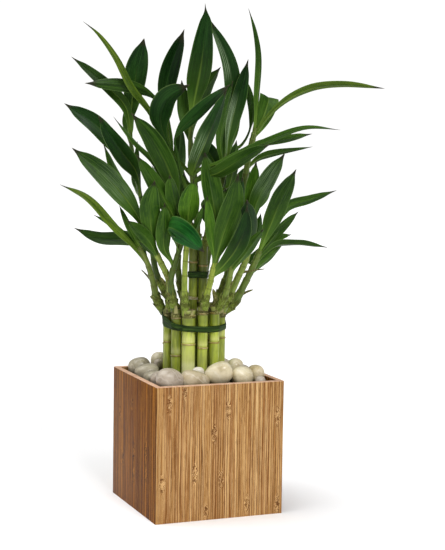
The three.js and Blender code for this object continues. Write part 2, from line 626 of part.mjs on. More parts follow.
function addTies() {
  const lower = addMesh(plant, "tie_lower", tieGeometry(BUNDLE_RADIUS, TIE_SIDES), TIE_GREEN);
  lower.position.set(BUNDLE_ACROSS, 0, LOWER_TIE_Z);
  lower.rotation.y = radians(LOWER_TIE_LEAN);
  const upper = addMesh(plant, "tie_upper", tieGeometry(INNER_RING + INNER_RADIUS, TIE_SIDES / 2), TIE_GREEN);
  upper.position.set(0, INNER_BEHIND, UPPER_TIE_Z);
}

// Bed: heaped gravel with a plain hole for each cane and a hollow under each pebble
function addBed() {
  const span = 2 * (linerHalf - LINER_WALL - LINER_TAPER - CONTACT_GAP);
  const height = BED_EDGE_Z - bedFoot;
  const heap = new THREE.BoxGeometry(span, span, height, BED_GRID, BED_GRID, 1);
  heap.translate(0, 0, bedFoot + height / 2);
  const points = heap.attributes.position;
  for (let i = 0; i < points.count; i += 1) {
    if (points.getZ(i) > BED_EDGE_Z - 1) {
      const slope = (value) => Math.max(0, Math.cos((Math.PI * value) / span)) ** BED_HEAP_FULLNESS;
      points.setZ(i, BED_EDGE_Z + BED_HEAP * slope(points.getX(i)) * slope(points.getY(i)));
    }
  }
  let bed = solidOf(heap);
  for (const cane of CANES) {
    const hole = caneGeometry(cane, canePlace(cane, cane.inner), CONTACT_GAP);
    bed = bed.subtract(solidOf(hole.rotateZ(radians(PLANT_TURN))));
  }
  for (const pebble of PEBBLES) {
    bed = bed.subtract(solidOf(pebbleGeometry(pebble, HOLLOW_GROW)));
  }
  addMesh(model, "gravel_bed", geometryOf(largestBody(bed)), GRAVEL_GREY);
}

addPlanter();
addLiner();
addBed();
addPebbles();
addCanes();
addTies();
addShoots();

export default model;
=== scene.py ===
# Potted lucky bamboo: the finished look of the CAD part, in the part's own frame.
# Sizes are in millimetres until a mesh is made, which is in metres.
from collections import namedtuple
from math import cos, exp, pi, radians, sin, sqrt, tan

import bmesh
import bpy
import numpy as np
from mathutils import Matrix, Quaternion, Vector


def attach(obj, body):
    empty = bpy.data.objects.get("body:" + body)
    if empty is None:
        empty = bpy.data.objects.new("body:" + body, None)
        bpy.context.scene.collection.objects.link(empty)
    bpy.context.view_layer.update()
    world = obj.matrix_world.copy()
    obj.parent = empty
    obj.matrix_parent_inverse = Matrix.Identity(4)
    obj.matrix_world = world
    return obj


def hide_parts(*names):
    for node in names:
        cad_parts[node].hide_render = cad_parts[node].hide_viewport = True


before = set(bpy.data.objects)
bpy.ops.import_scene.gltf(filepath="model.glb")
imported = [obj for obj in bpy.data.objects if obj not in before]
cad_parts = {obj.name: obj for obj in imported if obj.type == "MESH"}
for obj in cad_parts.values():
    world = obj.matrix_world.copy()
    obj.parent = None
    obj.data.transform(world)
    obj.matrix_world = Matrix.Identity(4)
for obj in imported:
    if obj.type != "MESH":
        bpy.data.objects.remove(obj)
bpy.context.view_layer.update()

MM = 0.001
PLANTER_SIDE = 120
PANEL_THICK = 5
PANEL_ROUND = 0.5
BUNDLE_ACROSS = -2.7
BUNDLE_RADIUS = 28.6
INNER_RING = 5.2
INNER_BEHIND = -3
CANE_FOOT_Z = 20
CANE_SLACK = 0.04
CUT_ROUND = 0.4
LOWER_TIE_Z = 166
LOWER_TIE_LEAN = 2.5
UPPER_TIE_Z = 211
BLADE_FOLD = radians(16)
FOOT_FOLD = radians(38)
SHEATH_WIDE = 4.5
SHEATH_RUN = 1.5
ROOT_SINK = 0.97
ROOT_HUG = 0.6
END_ON = 0.75
SCALE_OUT = 3.3
PEBBLE_SQUARENESS = 0.86
PLANT_TURN = -22.28
FRONT_ACROSS, FRONT_UP, FRONT_AWAY = 22, 331, 1265
UP = np.array((0.0, 0.0, 1.0))
AWAY = np.array((0.0, 1.0, 0.0))
LEAF_RINGS = 32
LEAF_COLUMNS = (-1, -0.8, -0.58, -0.34, -0.12, 0, 0.12, 0.34, 0.58, 0.8, 1)
STRIP_COLUMNS = (-1, -0.5, 0, 0.5, 1)
STEM_FACETS = 18
COLLAR_FACETS = 24
CANE_FACETS = 32
SLEEVE_FACETS = 36
REMNANT_FACETS = 8
ANY_PHASE = 6.28
PLAIN = [(1, 1, 1)]
# How far across a tie, as a share of half its height, and how far out of the canes
TIE_SECTION = ((-1, 0), (0, 0), (1, 0), (0.93, 0.34), (0.7, 0.56), (0.35, 0.62), (0, 0.58), (-0.35, 0.62),
               (-0.7, 0.56), (-0.93, 0.34))
BAMBOO_STRIP = 2.2
RIM_STRIP = 2.5
KNOT_HALF_WIDE, KNOT_HALF_HIGH = 3.4, 12


Cane = namedtuple("Cane", "angle radius top nodes level aged", defaults=(0.9, 0.1))
Pebble = namedtuple("Pebble", "stone at half turn tip taper", defaults=(0, 0))
# The last field of a leaf is its painted sheen: where along the leaf pale streaks are painted as highlights, on which
# half and how strongly.
Leaf = namedtuple("Leaf", "at through wide turn tone neck peak taper drip gleam",
                  defaults=(20, "", 0.12, 1.15, 0.34, 0.5, (2, 2, 0, 0)))


def grow(name, cane, tone, thick, path, *leaves):
    """A cane and the shoot out of it, whose stem has a tone and is so thick at its foot and tip."""
    STALKS[name] = cane, tone, thick, path, leaves


# The points of stems and leaves are across, up and behind, as the front view shows them. A leaf starts at a
# share of its stem's length.
STALKS = {}
grow("outer_01", Cane(-12, 4.5, 180, (154, 176), 0.9, 0.3), (122, 140, 60), (3.7, 3),
     ((22, 178, -5), (30, 194, -9), (36, 208, -11), (43, 224, -13), (47, 242, -14)),
     Leaf(0.68, ((45, 250, -36), (43, 279, -60)), 16.5, 10, "dark"),
     Leaf(0.78, ((53, 250, -15), (56, 267, -15)), 7.5),
     Leaf(0.88, ((51, 274, -19), (63, 297, -20), (76.8, 321.5, -22)), 16.5, peak=1.3, taper=0.6,
          gleam=(0.5, 0.95, 0, 0.25)),
     Leaf(1, ((47, 283, -8), (51, 314, -4)), 12.5, 15, "light"))
grow("outer_02", Cane(-41, 4.6, 184, (151, 178), 1, 0.2), (116, 134, 58), (3.2, 2.7),
     ((16, 176, -16), (22.7, 187, -20), (27.2, 201, -22), (30.4, 217, -23), (35, 233, -23)),
     Leaf(0.62, ((43, 231, -36), (59, 253, -52)), 9.5),
     Leaf(0.74, ((37, 243, -32), (41, 268, -44)), 10.5, 20, "dark"),
     Leaf(0.88, ((27, 258, -21), (23, 290, -20)), 11.5, 30),
     Leaf(1, ((36, 265, -30), (39, 300, -36)), 10.5, 30, "dark"))
grow("outer_03", Cane(-71, 4.6, 184, (147, 178), 0.95, 0.3), (146, 162, 62), (3.4, 2.8),
     ((5, 175, -23), (7.2, 189, -27), (10.8, 202, -28), (13.8, 216, -29), (19, 233, -30)),
     Leaf(0.62, ((22, 246, -42), (31, 274, -54), (35, 302, -62)), 19, 5, taper=0.2),
     Leaf(0.74, ((11, 250, -42), (7, 282, -50)), 8.5, 10, "light"),
     Leaf(0.55, ((23.5, 219.5, -34), (33.5, 233, -44), (41, 251, -58), (43.5, 274, -66)), 14.5, 10, "dark",
          neck=0.02, taper=0.05),
     Leaf(1, ((14, 268, -32), (9, 296, -24), (4, 322, -20)), 18))
grow("outer_04", Cane(-102, 6, 181, (150, 176), 1.04, 0.88), (142, 160, 62), (3, 2.7),
     ((-11, 173, -24), (-12, 191, -28), (-12, 214, -30), (-11, 234, -31), (-10.5, 250, -31)),
     Leaf(0.8, ((-1, 256, -42), (4, 274, -50)), 5.5, 30),
     Leaf(1, ((-9, 270, -38), (-5, 296, -44)), 17.5, 8, "light", peak=0.85, drip=0.75))
grow("outer_05", Cane(-131, 4.7, 181, (139, 173), 0.62), (84, 104, 44), (3.4, 2.5),
     ((-20, 174, -18), (-23, 190, -19), (-24.5, 206, -20), (-20, 223, -22), (-15.5, 240, -23), (-16, 259, -22)),
     Leaf(0.5, ((-31, 234, -28), (-31, 257, -36), (-31, 275, -40)), 13, 10),
     Leaf(0.66, ((-27, 252, -42), (-12, 245.5, -50), (5.5, 230.5, -52)), 21, 5, "bluish", neck=0.17, taper=0.2,
          drip=0.4),
     Leaf(0.8, ((-35, 284, -36), (-57, 318, -44)), 14, 15),
     Leaf(0.88, ((-23, 280, -32), (-27, 300, -48)), 12.5, 25),
     Leaf(0.95, ((-39, 307.5, -16), (-59, 328, -13), (-78, 351.5, -10)), 4.5, 30),
     Leaf(1, ((-24, 295, -27), (-41.5, 330, -36), (-62, 355, -44)), 17.5, 10))
grow("outer_06", Cane(-162, 4.2, 180, (150, 174), 0.86), (138, 156, 66), (3.4, 2.9),
     ((-26, 175, -8), (-25, 190, -12), (-27, 206, -14), (-35, 223, -17), (-44, 241, -20)),
     Leaf(0.58, ((-50, 238, 2), (-66, 241, 6), (-89, 241.7, 8), (-113, 251, 10)), 12),
     Leaf(0.7, ((-47, 243, -32), (-65, 259, -42)), 10.5, 10),
     Leaf(0.82, ((-44, 268, -40), (-40, 295, -50)), 17.5, 5),
     Leaf(0.92, ((-75.5, 299, -8), (-87, 328, -6)), 8.5, 30),
     Leaf(1, ((-61, 271, -24), (-84.7, 298.4, -28), (-115, 323, -30)), 18.5, 10, gleam=(0.35, 0.8, 0, 0.22)))
grow("outer_07", Cane(175, 4.5, 178, (147, 174)), (104, 120, 52), (3.6, 2.5),
     ((-30, 175, 2), (-36.5, 186, 0), (-40.5, 202, -6), (-46, 220, -13), (-54, 235, -20)),
     Leaf(0.6, ((-56, 236, 10), (-74, 250, 30)), 10.5),
     Leaf(0.72, ((-79, 255, -32), (-101, 278.2, -38), (-126, 290, -40)), 6.5, 25, "olive"),
     Leaf(0.86, ((-76, 252, -20), (-95, 263, -18)), 5.5, 40),
     Leaf(1, ((-63, 252, -20), (-72, 272, -18)), 4.5))
grow("outer_08", Cane(143, 4.8, 182, (144, 176)), (74, 94, 42), (3.2, 1.8),
     ((-21, 179, 15), (-37, 209, 20), (-44, 245, 24), (-53, 281, 22), (-61, 322, 15), (-63, 341, 12)),
     Leaf(1, ((-58.3, 386, 10), (-50.8, 421, 6)), 20, 10, "dark", neck=0.1, peak=1.3, taper=0.2, drip=0.3),
     Leaf(0.96, ((-66, 358, 6), (-79.5, 374.3, 3), (-95, 388, 0), (-116, 404, -2)), 10, 15, neck=0.06),
     Leaf(0.75, ((-69, 316, 20), (-92, 342.5, 18), (-122, 362.5, 14)), 16.5, 15, "dark"),
     Leaf(0.62, ((-57, 302, 4), (-70, 320, -2), (-82, 337, -5), (-91.5, 352, -6)), 17, 20, "dark", neck=0.17, peak=1,
          taper=0.4),
     Leaf(0.6, ((-58, 290, 60), (-56, 330, 90)), 11, 50),
     Leaf(0.4, ((-53, 254, 60), (-60, 277, 95)), 12.5, 50),
     Leaf(0.9, ((-65, 344, 45), (-60, 373, 75)), 10.5),
     Leaf(0.5, ((-47, 264, 32), (-40, 298, 40)), 12.5, 30))
grow("outer_09", Cane(111, 5, 184, (152, 178)), (98, 118, 50), (3.2, 2),
     ((-11, 179, 23), (-18, 214, 28), (-17, 255, 30), (-21, 291, 28), (-27, 322, 24)),
     Leaf(1, ((-45, 356, 8), (-62, 378, -12), (-76, 404, -14), (-91, 423.6, -14), (-106, 435.5, -14)), 5.5, 20,
          "olive"),
     Leaf(0.95, ((-32, 357, 26), (-46, 372.5, 8), (-69, 379.3, -8), (-104, 380.5, -6)), 11.5, 35, neck=0.4,
          peak=1.4),
     Leaf(0.85, ((-34, 335, 30), (-40, 359, 34)), 9.5, 30),
     Leaf(0.8, ((-33, 352, 60), (-33, 392, 80)), 13, 60),
     Leaf(0.7, ((-19, 318, 52), (-17, 345, 72)), 12, 30),
     Leaf(0.55, ((-31, 286, 60), (-43, 308, 100)), 13.5, 50),
     Leaf(0.45, ((-19, 264, 65), (-24, 264, 115)), 13.5, 40),
     Leaf(0.35, ((-12, 260, 40), (-14, 304, 54)), 13.5))
grow("outer_10", Cane(79, 4.7, 182, (142, 176)), (98, 118, 50), (3.2, 2),
     ((2, 179, 24), (7, 215, 28), (14, 255, 28), (20, 291, 24), (25, 323, 18)),
     Leaf(0.9, ((45, 325.5, 20), (83, 334.6, 22), (101, 338.6, 22)), 7.5, 25, peak=1.6),
     Leaf(1, ((37, 327, 22), (44.6, 341, 18), (46.2, 362, 20), (41, 386, 24)), 7.5, 30, neck=0.42, taper=0.2),
     Leaf(0.9, ((29, 350, 40), (33, 381, 60)), 13.5),
     Leaf(0.75, ((19, 314, 60), (24, 358, 85)), 14.5, 40),
     Leaf(0.6, ((32, 287, 70), (45, 310, 110)), 13.5, 40),
     Leaf(0.5, ((5, 269, 70), (23, 283, 115)), 12.5, 40),
     Leaf(0.4, ((20, 264, 38), (30, 302, 50)), 13.5))
grow("outer_11", Cane(47, 5, 183, (149, 177)), (98, 118, 50), (3.2, 3),
     ((14, 178, 18), (25, 206, 22), (34, 242, 22), (39, 283, 18), (45, 323, 10), (50, 343, 5)),
     Leaf(1, ((50.8, 372, 4), (51.8, 405, 2), (48.2, 428, 0), (41.5, 449, -2)), 5.6, 35, neck=0.05),
     Leaf(0.97, ((57, 354, 8), (61, 370, 20), (55, 364, 48)), 17, 10, neck=0.02, taper=0.08),
     Leaf(0.93, ((67, 360, -6), (98, 378.7, -12), (129, 382.5, -12), (165, 379.6, -10)), 6.5, 30, "olive", peak=1.25,
          drip=0.2),
     Leaf(0.78, ((56, 317.2, 14), (101.5, 327.1, 16)), 6, 35, peak=0.6),
     Leaf(0.6, ((50, 274, 50), (65, 297, 85)), 12.5, 40),
     Leaf(0.45, ((57, 247, 60), (76, 274, 95)), 12.5, 40),
     Leaf(0.3, ((47, 222, 55), (69, 243, 90)), 11.5, 40),
     Leaf(0.5, ((41, 270, 36), (48, 308, 46)), 13.5, 25))
grow("outer_12", Cane(17, 4.6, 180, (156, 174)), (98, 118, 50), (4.2, 2.9),
     ((22, 176, 7), (34, 187, 4), (42, 202, 2), (49, 217, 0), (55.5, 233, -2)),
     Leaf(0.6, ((65, 228, 8), (77, 240, 12)), 7.5, 30),
     Leaf(0.7, ((69, 237, 2), (92, 239.5, 4), (117, 236.5, 6)), 7.5, 45),
     Leaf(0.78, ((69, 243, 18), (84, 248, 30)), 6.5),
     Leaf(0.86, ((73, 252, 10), (90, 269, 16)), 8.5),
     Leaf(0.93, ((78, 271, 10), (100, 279.6, 12), (124, 288.4, 14)), 9, 25),
     Leaf(1, ((65, 257, -6), (73.6, 279, -10), (87, 307, -14)), 17.2, 15, neck=0.05))
grow("inner_01", Cane(-150, 4, 238, (190, 222)), (98, 118, 50), (2.8, 1.6),
     ((-5, 232, -5), (-8, 258, -9), (-6, 288, -8), (-9, 322, -4), (-8, 351, 0)),
     Leaf(1, ((0, 397, -2), (4, 437, -5), (3, 453, -6)), 20, 10, "dark", neck=0.05, peak=0.88, drip=0.75),
     Leaf(0.55, ((5, 330, -30), (24, 378, -42)), 17, 35, "dark", neck=0.02, peak=0.9, taper=0.12,
          gleam=(0.15, 0.6, -1, 0.6)),
     Leaf(0.35, ((-16, 298, -20), (-19.5, 316, -26), (-22, 333.5, -34), (-0.5, 357, -36), (27, 382, -30)), 11.8, 15,
          "dark", neck=0.5, peak=0.8, taper=0.25),
     Leaf(0.5, ((18, 303, -28), (42, 318, -33), (64, 329, -34)), 12.5, 10, neck=0.05),
     Leaf(0.56, ((20, 312, -28), (62, 332, -33), (94, 343.8, -33), (127, 342.2, -30)), 5, peak=0.9),
     Leaf(0.2, ((-11, 266, -14), (-15, 288, -13)), 9.5, 40))
grow("inner_02", Cane(-30, 4, 237, (187.5, 219)), (98, 118, 50), (2.8, 2),
     ((4, 231, -5), (8, 246, -8), (13, 269, -10), (20, 291, -12), (24, 309, -10)),
     Leaf(0.84, ((16, 307, -9), (6, 323, -8), (-5.5, 334, -2)), 13.5, 20, "dark"),
     Leaf(1, ((26, 336, -6), (35, 375, 0), (42.3, 404.3, 4)), 13.5, 20, "dark", gleam=(0.05, 0.7, -1, 0.8)),
     Leaf(0.9, ((18, 332, -20), (29, 385, -26)), 8.5, 45),
     Leaf(0.95, ((28, 350, 4), (25.5, 397, 8), (6, 440, 4)), 15.5, 25, "dark", drip=0.2,
          gleam=(0.55, 0.98, -1, 0.7)),
     Leaf(0.3, ((6, 262, -22), (4, 274, -30)), 4.5, 40),
     Leaf(0.45, ((17, 272, 2), (28, 304, 8)), 10.5, 30),
     Leaf(0.7, ((27, 292, -17), (33, 332, -14)), 12.5, 35))
grow("inner_03", Cane(90, 4, 240, (186, 224)), (98, 118, 50), (2.8, 1.8),
     ((0, 233, 2), (-2, 255, 6), (-3, 287, 10), (-5, 313, 12), (-8, 331, 12)),
     Leaf(1, ((-4, 354, 14), (7, 381, 14), (18, 397, 10)), 14, 25),
     Leaf(0.6, ((-27, 325, 14), (-32, 362, 20), (-28, 393, 22), (-15, 430, 16)), 17.5, 15, "dark", neck=0.45,
          peak=1),
     Leaf(0.5, ((-18, 302, -4), (-30, 330, -2), (-35.5, 350, -8), (-29.5, 368, -14), (-9, 381, -16)), 22, 10, "dark",
          neck=0.48, peak=1, taper=0.4, drip=0.7),
     Leaf(0.92, ((-12, 346, 8), (-15, 363, 9), (-17, 385, 10)), 12, 10))
PEBBLES = [
    Pebble("grey", (-42, -43, 123), (12.4, 8.8, 10), -8, 4, -0.1),
    Pebble("sand", (-18.2, -42.8, 121.2), (13.8, 8.6, 8.8), 4, 9, -0.2),
    Pebble("beige", (5.2, -38.8, 125.4), (13, 9, 9.8), -14, -16, 0.22),
    Pebble("beige", (27, -41.6, 122.6), (10, 8.8, 9.2), 12, 6, 0.06),
    Pebble("yellow", (44.5, -32, 122.3), (7.4, 8.4, 8.8), 10),
    Pebble("grey", (42.5, -46.8, 116.8), (5.2, 4.4, 6.4), -10),
    Pebble("beige", (28, -23.5, 128), (7.4, 7, 8), 30, 8),
    Pebble("grey", (-45.5, -24.5, 120), (7.4, 8.6, 8), -12, -6),
    # The dark stones at the back left are partly painted shade.
    Pebble("dark", (-43.5, -3.5, 118.5), (9, 10.4, 7), -14, -8),
    Pebble("dark", (-41, 20, 120), (11.4, 10, 7.6), -14, -8),
    Pebble("beige", (-21, 42.5, 125.4), (8.2, 8, 9.2), 10),
    Pebble("grey", (-27.2, 27, 125.6), (4.6, 4.4, 5), 12),
    Pebble("dark", (-40.6, 42.5, 121.4), (11, 9.2, 8.8), -10, -10),
    Pebble("grey", (-1, 43, 121.5), (10.4, 8.8, 8.8), -12, -5),
    Pebble("beige", (20, 43, 119.5), (9.6, 8.6, 8), 10, 4),
    Pebble("grey", (41, 42.5, 118), (9.4, 9.2, 8.5), 35),
    Pebble("beige", (43, 20.5, 118.5), (8.4, 10.4, 8.5), -6, 4),
    Pebble("grey", (42.5, -4, 118.5), (8.8, 11, 8.5), 5, -6), Pebble("beige", (29, 28, 123.5), (6, 6.2, 6), 25),
    Pebble("white", (-11, -32, 126.4), (5.6, 3, 4.8), -14),
]


# Shapes

def unit(v):
    return v / np.linalg.norm(v)


def smooth(value, low, high):
    t = np.clip((value - low) / (high - low), 0, 1)
    return t * t * (3 - 2 * t)


def bell(distance, wide):
    return exp(-((distance / wide) ** 2))


def angles(count):
    return [2 * pi * k / count for k in range(count)]


def link(name, data):
    made = bpy.data.objects.new(name, data)
    bpy.context.scene.collection.objects.link(made)
    return made


def polar(x, y, z, radius, angle):
    return x + radius * cos(angle), y + radius * sin(angle), z


def beside(centre, side, other, radius, angle, flat=1):
    return centre + side * (radius * cos(angle)) + other * (flat * radius * sin(angle))


def turned(points, axis, degrees):
    c, s = cos(radians(degrees)), sin(radians(degrees))
    if axis == "y":
        return points @ np.array(((c, 0, -s), (0, 1, 0), (s, 0, c)))
    return points @ np.array(((c, s, 0), (-s, c, 0), (0, 0, 1)))


def spot(place):
    """A place seen in the front view, moved along its line of sight to its own depth."""
    across, up, behind = place
    scale = 1 + behind / FRONT_AWAY
    return np.array((FRONT_ACROSS + (across - FRONT_ACROSS) * scale, behind, FRONT_UP + (up - FRONT_UP) * scale))


class Path:
    """A smooth curve through points that leaves the first in a given direction; s runs from 0 to 1."""

    def __init__(self, points, start):
        self.points = np.array(points, float)
        self.gaps = np.linalg.norm(np.diff(self.points, axis=0), axis=1)
        self.marks = np.concatenate(([0], np.cumsum(self.gaps)))
        self.length = self.marks[-1]
        after = [*range(2, len(self.points)), -1]
        chords = (self.points[after] - self.points[:-1]) / (self.marks[after] - self.marks[:-1])[:, None]
        self.slopes = np.vstack((start, chords))
        self.side = unit(np.cross(self.heading(0), AWAY))

    def at(self, s):
        x = s * self.length
        i = int(np.clip(np.searchsorted(self.marks, x) - 1, 0, len(self.gaps) - 1))
        h = self.gaps[i]
        u = (x - self.marks[i]) / h
        return (
            (2 * u**3 - 3 * u**2 + 1) * self.points[i] + (u**3 - 2 * u**2 + u) * h * self.slopes[i]
            + (3 * u**2 - 2 * u**3) * self.points[i + 1] + (u**3 - u**2) * h * self.slopes[i + 1]
        )

    def heading(self, s):
        return unit(self.at(min(s + 0.01, 1)) - self.at(max(s - 0.01, 0)))

    def frames(self, stations, known=0, side=None):
        """At each station s its point and two directions across the path. The first of them is carried without
        twisting from a side given at the station known."""
        sides = {}
        for way in (1, -1):
            last = self.side if side is None else side
            for s in sorted((s for s in {*stations, known} if way * (s - known) >= 0), key=lambda s: way * s):
                heading = self.heading(s)
                last = unit(last - heading * last.dot(heading))
                sides[s] = last
        return [(s, self.at(s), sides[s], np.cross(self.heading(s), sides[s])) for s in stations]


class Build:
    """Gathers the faces of one piece, with a place and a tint at each vertex for its materials."""

    def __init__(self):
        self.points, self.faces, self.kinds, self.places, self.tints, self.open = [], [], [], [], [], []

    def add(self, points, faces, kinds, places, tints=PLAIN):
        first = len(self.points)
        self.faces += [tuple(i + first for i in face) for face in faces]
        self.kinds += kinds
        self.points += [tuple(p) for p in points]
        self.places += [tuple(p) for p in places]
        self.tints += tints * (len(points) // len(tints))

    def ring(self, points, up=0, mark=0, places=None, tints=PLAIN):
        """The next ring of a skin; its places are the share of the way round and two values of the ring."""
        count = len(points)
        places = places or [(k / count, up, mark) for k in range(count)]
        self.open.append((points, places, tints * (count // len(tints))))

    def close(self, kind, apex=None):
        """Makes a closed skin of the rings, with a flat cap on the first and a cap or a point on the last."""
        count = len(self.open[0][0])
        points, places, tints = ([v for row in rows for v in row] for rows in zip(*self.open))
        self.open = []
        last = len(points) - count
        faces = [(a + k, a + (k + 1) % count, a + (k + 1) % count + count, a + k + count)
                 for a in range(0, last, count) for k in range(count)]
        faces.append(tuple(range(count)))
        if apex is None:
            faces.append(tuple(range(last, last + count)))
        else:
            faces += [(last + k, last + (k + 1) % count, len(points)) for k in range(count)]
            points.append(apex)
            places.append(places[last])
            tints.append(tints[last])
        self.add(points, faces, [kind] * len(faces), places, tints)

    def piece(self, node, materials, turn=PLANT_TURN, sharp=40):
        name = "visual_" + node.removeprefix("planter_")
        mesh = bpy.data.meshes.new(name)
        mesh.from_pydata(turned(np.array(self.points) * MM, "z", turn).tolist(), [], self.faces)
        for material in materials:
            mesh.materials.append(material)
        mesh.polygons.foreach_set("material_index", self.kinds)
        place = mesh.attributes.new("place", "FLOAT_VECTOR", "POINT")
        place.data.foreach_set("vector", np.array(self.places, float).ravel())
        tint = mesh.attributes.new("tint", "FLOAT_COLOR", "POINT")
        tint.data.foreach_set("color", np.array([(*t, 0.0)[:4] for t in self.tints], float).ravel())
        tidy = bmesh.new()
        tidy.from_mesh(mesh)
        bmesh.ops.recalc_face_normals(tidy, faces=tidy.faces)
        tidy.to_mesh(mesh)
        tidy.free()
        mesh.shade_smooth()
        mesh.set_sharp_from_angle(angle=radians(sharp))
        made = link(name, mesh)
        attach(made, "root")
        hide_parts(node)


# Materials

def linear(shown):
    """A colour given as shown on a display, in 0 to 255, as it is reckoned with."""
    return tuple((c / 255 / 12.92) if c <= 10 else ((c / 255 + 0.055) / 1.055) ** 2.4 for c in shown)


class Wire:
    """A value of a node material, which arithmetic turns into further nodes."""

    def __init__(self, paint, socket):
        self.paint, self.socket = paint, socket

    def also(self, output):
        """Another output of the same node."""
        return Wire(self.paint, self.socket.node.outputs[output])

    def __add__(self, other):
        return self.paint.math("ADD", self, other)

    def __sub__(self, other):
        return self.paint.math("SUBTRACT", self, other)

    def __rsub__(self, other):
        return self.paint.math("SUBTRACT", other, self)

    def __mul__(self, other):
        if isinstance(other, tuple):
            return self.paint.vector("MULTIPLY", self, other)
        return self.paint.math("MULTIPLY", self, other)

    def __truediv__(self, other):
        return self.paint.math("DIVIDE", self, other)

    def __abs__(self):
        return self.paint.math("ABSOLUTE", self)


class Paint:
    """A node material under construction."""

    def __init__(self, name, roughness, specular):
        self.material = bpy.data.materials.new(name)
        self.material.use_nodes = True
        self.tree = self.material.node_tree
        self.looks = self.tree.nodes["Principled BSDF"].inputs
        self.looks["Roughness"].default_value = roughness
        self.looks["Specular IOR Level"].default_value = specular

    def feed(self, socket, value):
        if isinstance(value, Wire):
            self.tree.links.new(value.socket, socket)
        else:
            socket.default_value = (*linear(value), 1) if socket.type == "RGBA" else value

    def node(self, kind, inputs, output=0, **settings):
        made = self.tree.nodes.new("ShaderNode" + kind)
        for key, value in settings.items():
            setattr(made, key, value)
        for key, value in inputs.items():
            self.feed(made.inputs[key], value)
        return Wire(self, made.outputs[output])

    def read(self, name, output="Vector"):
        return self.node("Attribute", {}, output, attribute_name=name)

    def place(self):
        return self.split(self.read("place"))

    def round(self, share):
        """Where a share of a turn lies on a circle."""
        turn = share * 6.2832
        return self.math("COSINE", turn), self.math("SINE", turn)

    def inside(self):
        """The place in the part's own frame, in metres."""
        return self.node("TexCoord", {}, "Object")

    def split(self, vector):
        x = self.node("SeparateXYZ", {0: vector})
        return x, x.also(1), x.also(2)

    def math(self, operation, *values):
        return self.node("Math", dict(enumerate(values)), operation=operation)

    def vector(self, operation, *values, output=0):
        return self.node("VectorMath", dict(enumerate(values)), output, operation=operation)

    def mix(self, factor, a, b):
        return self.node("Mix", {0: factor, 6: a, 7: b}, 2, data_type="RGBA")

    def noise(self, place, scale=1, detail=3, roughness=0.55):
        if isinstance(place, tuple):
            place = self.node("CombineXYZ", dict(enumerate(place)))
        return self.node("TexNoise", {"Vector": place, "Scale": scale, "Detail": detail, "Roughness": roughness})

    def chance(self, number):
        return self.node("TexWhiteNoise", {"W": number}, noise_dimensions="1D")

    def span(self, value, low, high, out_low=0, out_high=1):
        return self.node("MapRange", {0: value, 1: low, 2: high, 3: out_low, 4: out_high},
                         interpolation_type="SMOOTHSTEP")

    def over(self, shade, *layers):
        """Lays colours over a shade, each the more, up to its most, as its value goes from low to high."""
        for value, low, high, most, laid in layers:
            shade = self.mix(self.span(value, low, high, 0, most), shade, laid)
        return shade

    def ramp(self, factor, *stops):
        made = self.node("ValToRGB", {0: factor})
        points = made.socket.node.color_ramp.elements
        while len(points) < len(stops):
            points.new(0.5)
        for point, (place, shade) in zip(points, stops):
            point.position = place
            point.color = (*linear(shade), 1)
        return made

    def done(self, base, rough=None, height=None, strength=0, depth=0):
        """The finished material; rough is a value and the roughness where it is low and high."""
        self.feed(self.looks["Base Color"], base)
        if rough:
            value, low, high = rough
            self.feed(self.looks["Roughness"], self.span(value, 0.3, 0.7, low, high))
        if height is not None:
            bump = self.node("Bump", {"Strength": strength, "Distance": depth * MM, "Height": height})
            self.feed(self.looks["Normal"], bump)
        return self.material


def leaf_paint():
    """Place is across (-1 to 1), along (0 to 1) and the leaf's own number; the tint's alpha is a painted sheen, pale
    streaks that stand for highlights.
    """
    p = Paint("leaf_green", 0.34, 0.1)
    across, along, seed = p.place()
    tint, gleam = p.read("tint", "Color"), p.read("tint", "Alpha")
    size = abs(across)
    fine = p.noise((across * 15, along * 1.8, seed), 1, 4, 0.62)
    broad = p.noise((across * 1.3, along * 2.6, seed), 1.1, 2)
    mottle = p.noise((across * 5, along * 16, seed))
    level = p.node("Mix", {0: p.span(broad, 0.34, 0.66), 4: (0.5, 0.6, 0.55), 5: (1.45, 1.25, 1.1)}, 1,
                   data_type="VECTOR")
    # Paler fine streaks along the blade, partly the veins' own colour and partly painted highlight, with darker
    # streaks and random mottling.
    shade = p.over(p.vector("MULTIPLY", tint, level), (fine, 0.53, 0.62, 0.6, tint * (3, 2.3, 2.3)),
                   (fine, 0.48, 0.37, 0.65, tint * (0.34, 0.42, 0.34)),
                   (mottle, 0.52, 0.68, 0.3, tint * (2.4, 1.9, 1.4)),
                   (mottle, 0.46, 0.34, 0.22, tint * (0.5, 0.55, 0.5)))
    rib = p.span(size - (1 - along) * 0.2, 0.02, -0.12) * p.span(along, 0.8, 0.1, 0, 0.55)
    shade = p.over(p.mix(rib, shade, (128, 154, 62)),
                   (along, 0.75, 0.1, 0.3, (84, 122, 36)),
                   (along, 0.26, 0.02, 0.8, (108, 140, 50)),
                   (size, 0.88, 0.98, 0.38, (108, 138, 70)))
    # Pale streaks where the tint's alpha is set: painted sheen, standing for highlights on the glossy blade.
    shade = p.over(p.mix(gleam * p.span(fine, 0.46, 0.56, 0.05, 1), shade, (150, 172, 134)),
                   (along, 0.9, 0.955, 1, (40, 42, 24)),
                   (along, 0.97, 0.995, 0.8, (98, 84, 66)))
    veins = fine * 0.6 - p.span(size, 0.1, 0) * 0.6
    return p.done(shade, (broad, 0.3, 0.44), veins, 0.75, 0.25)


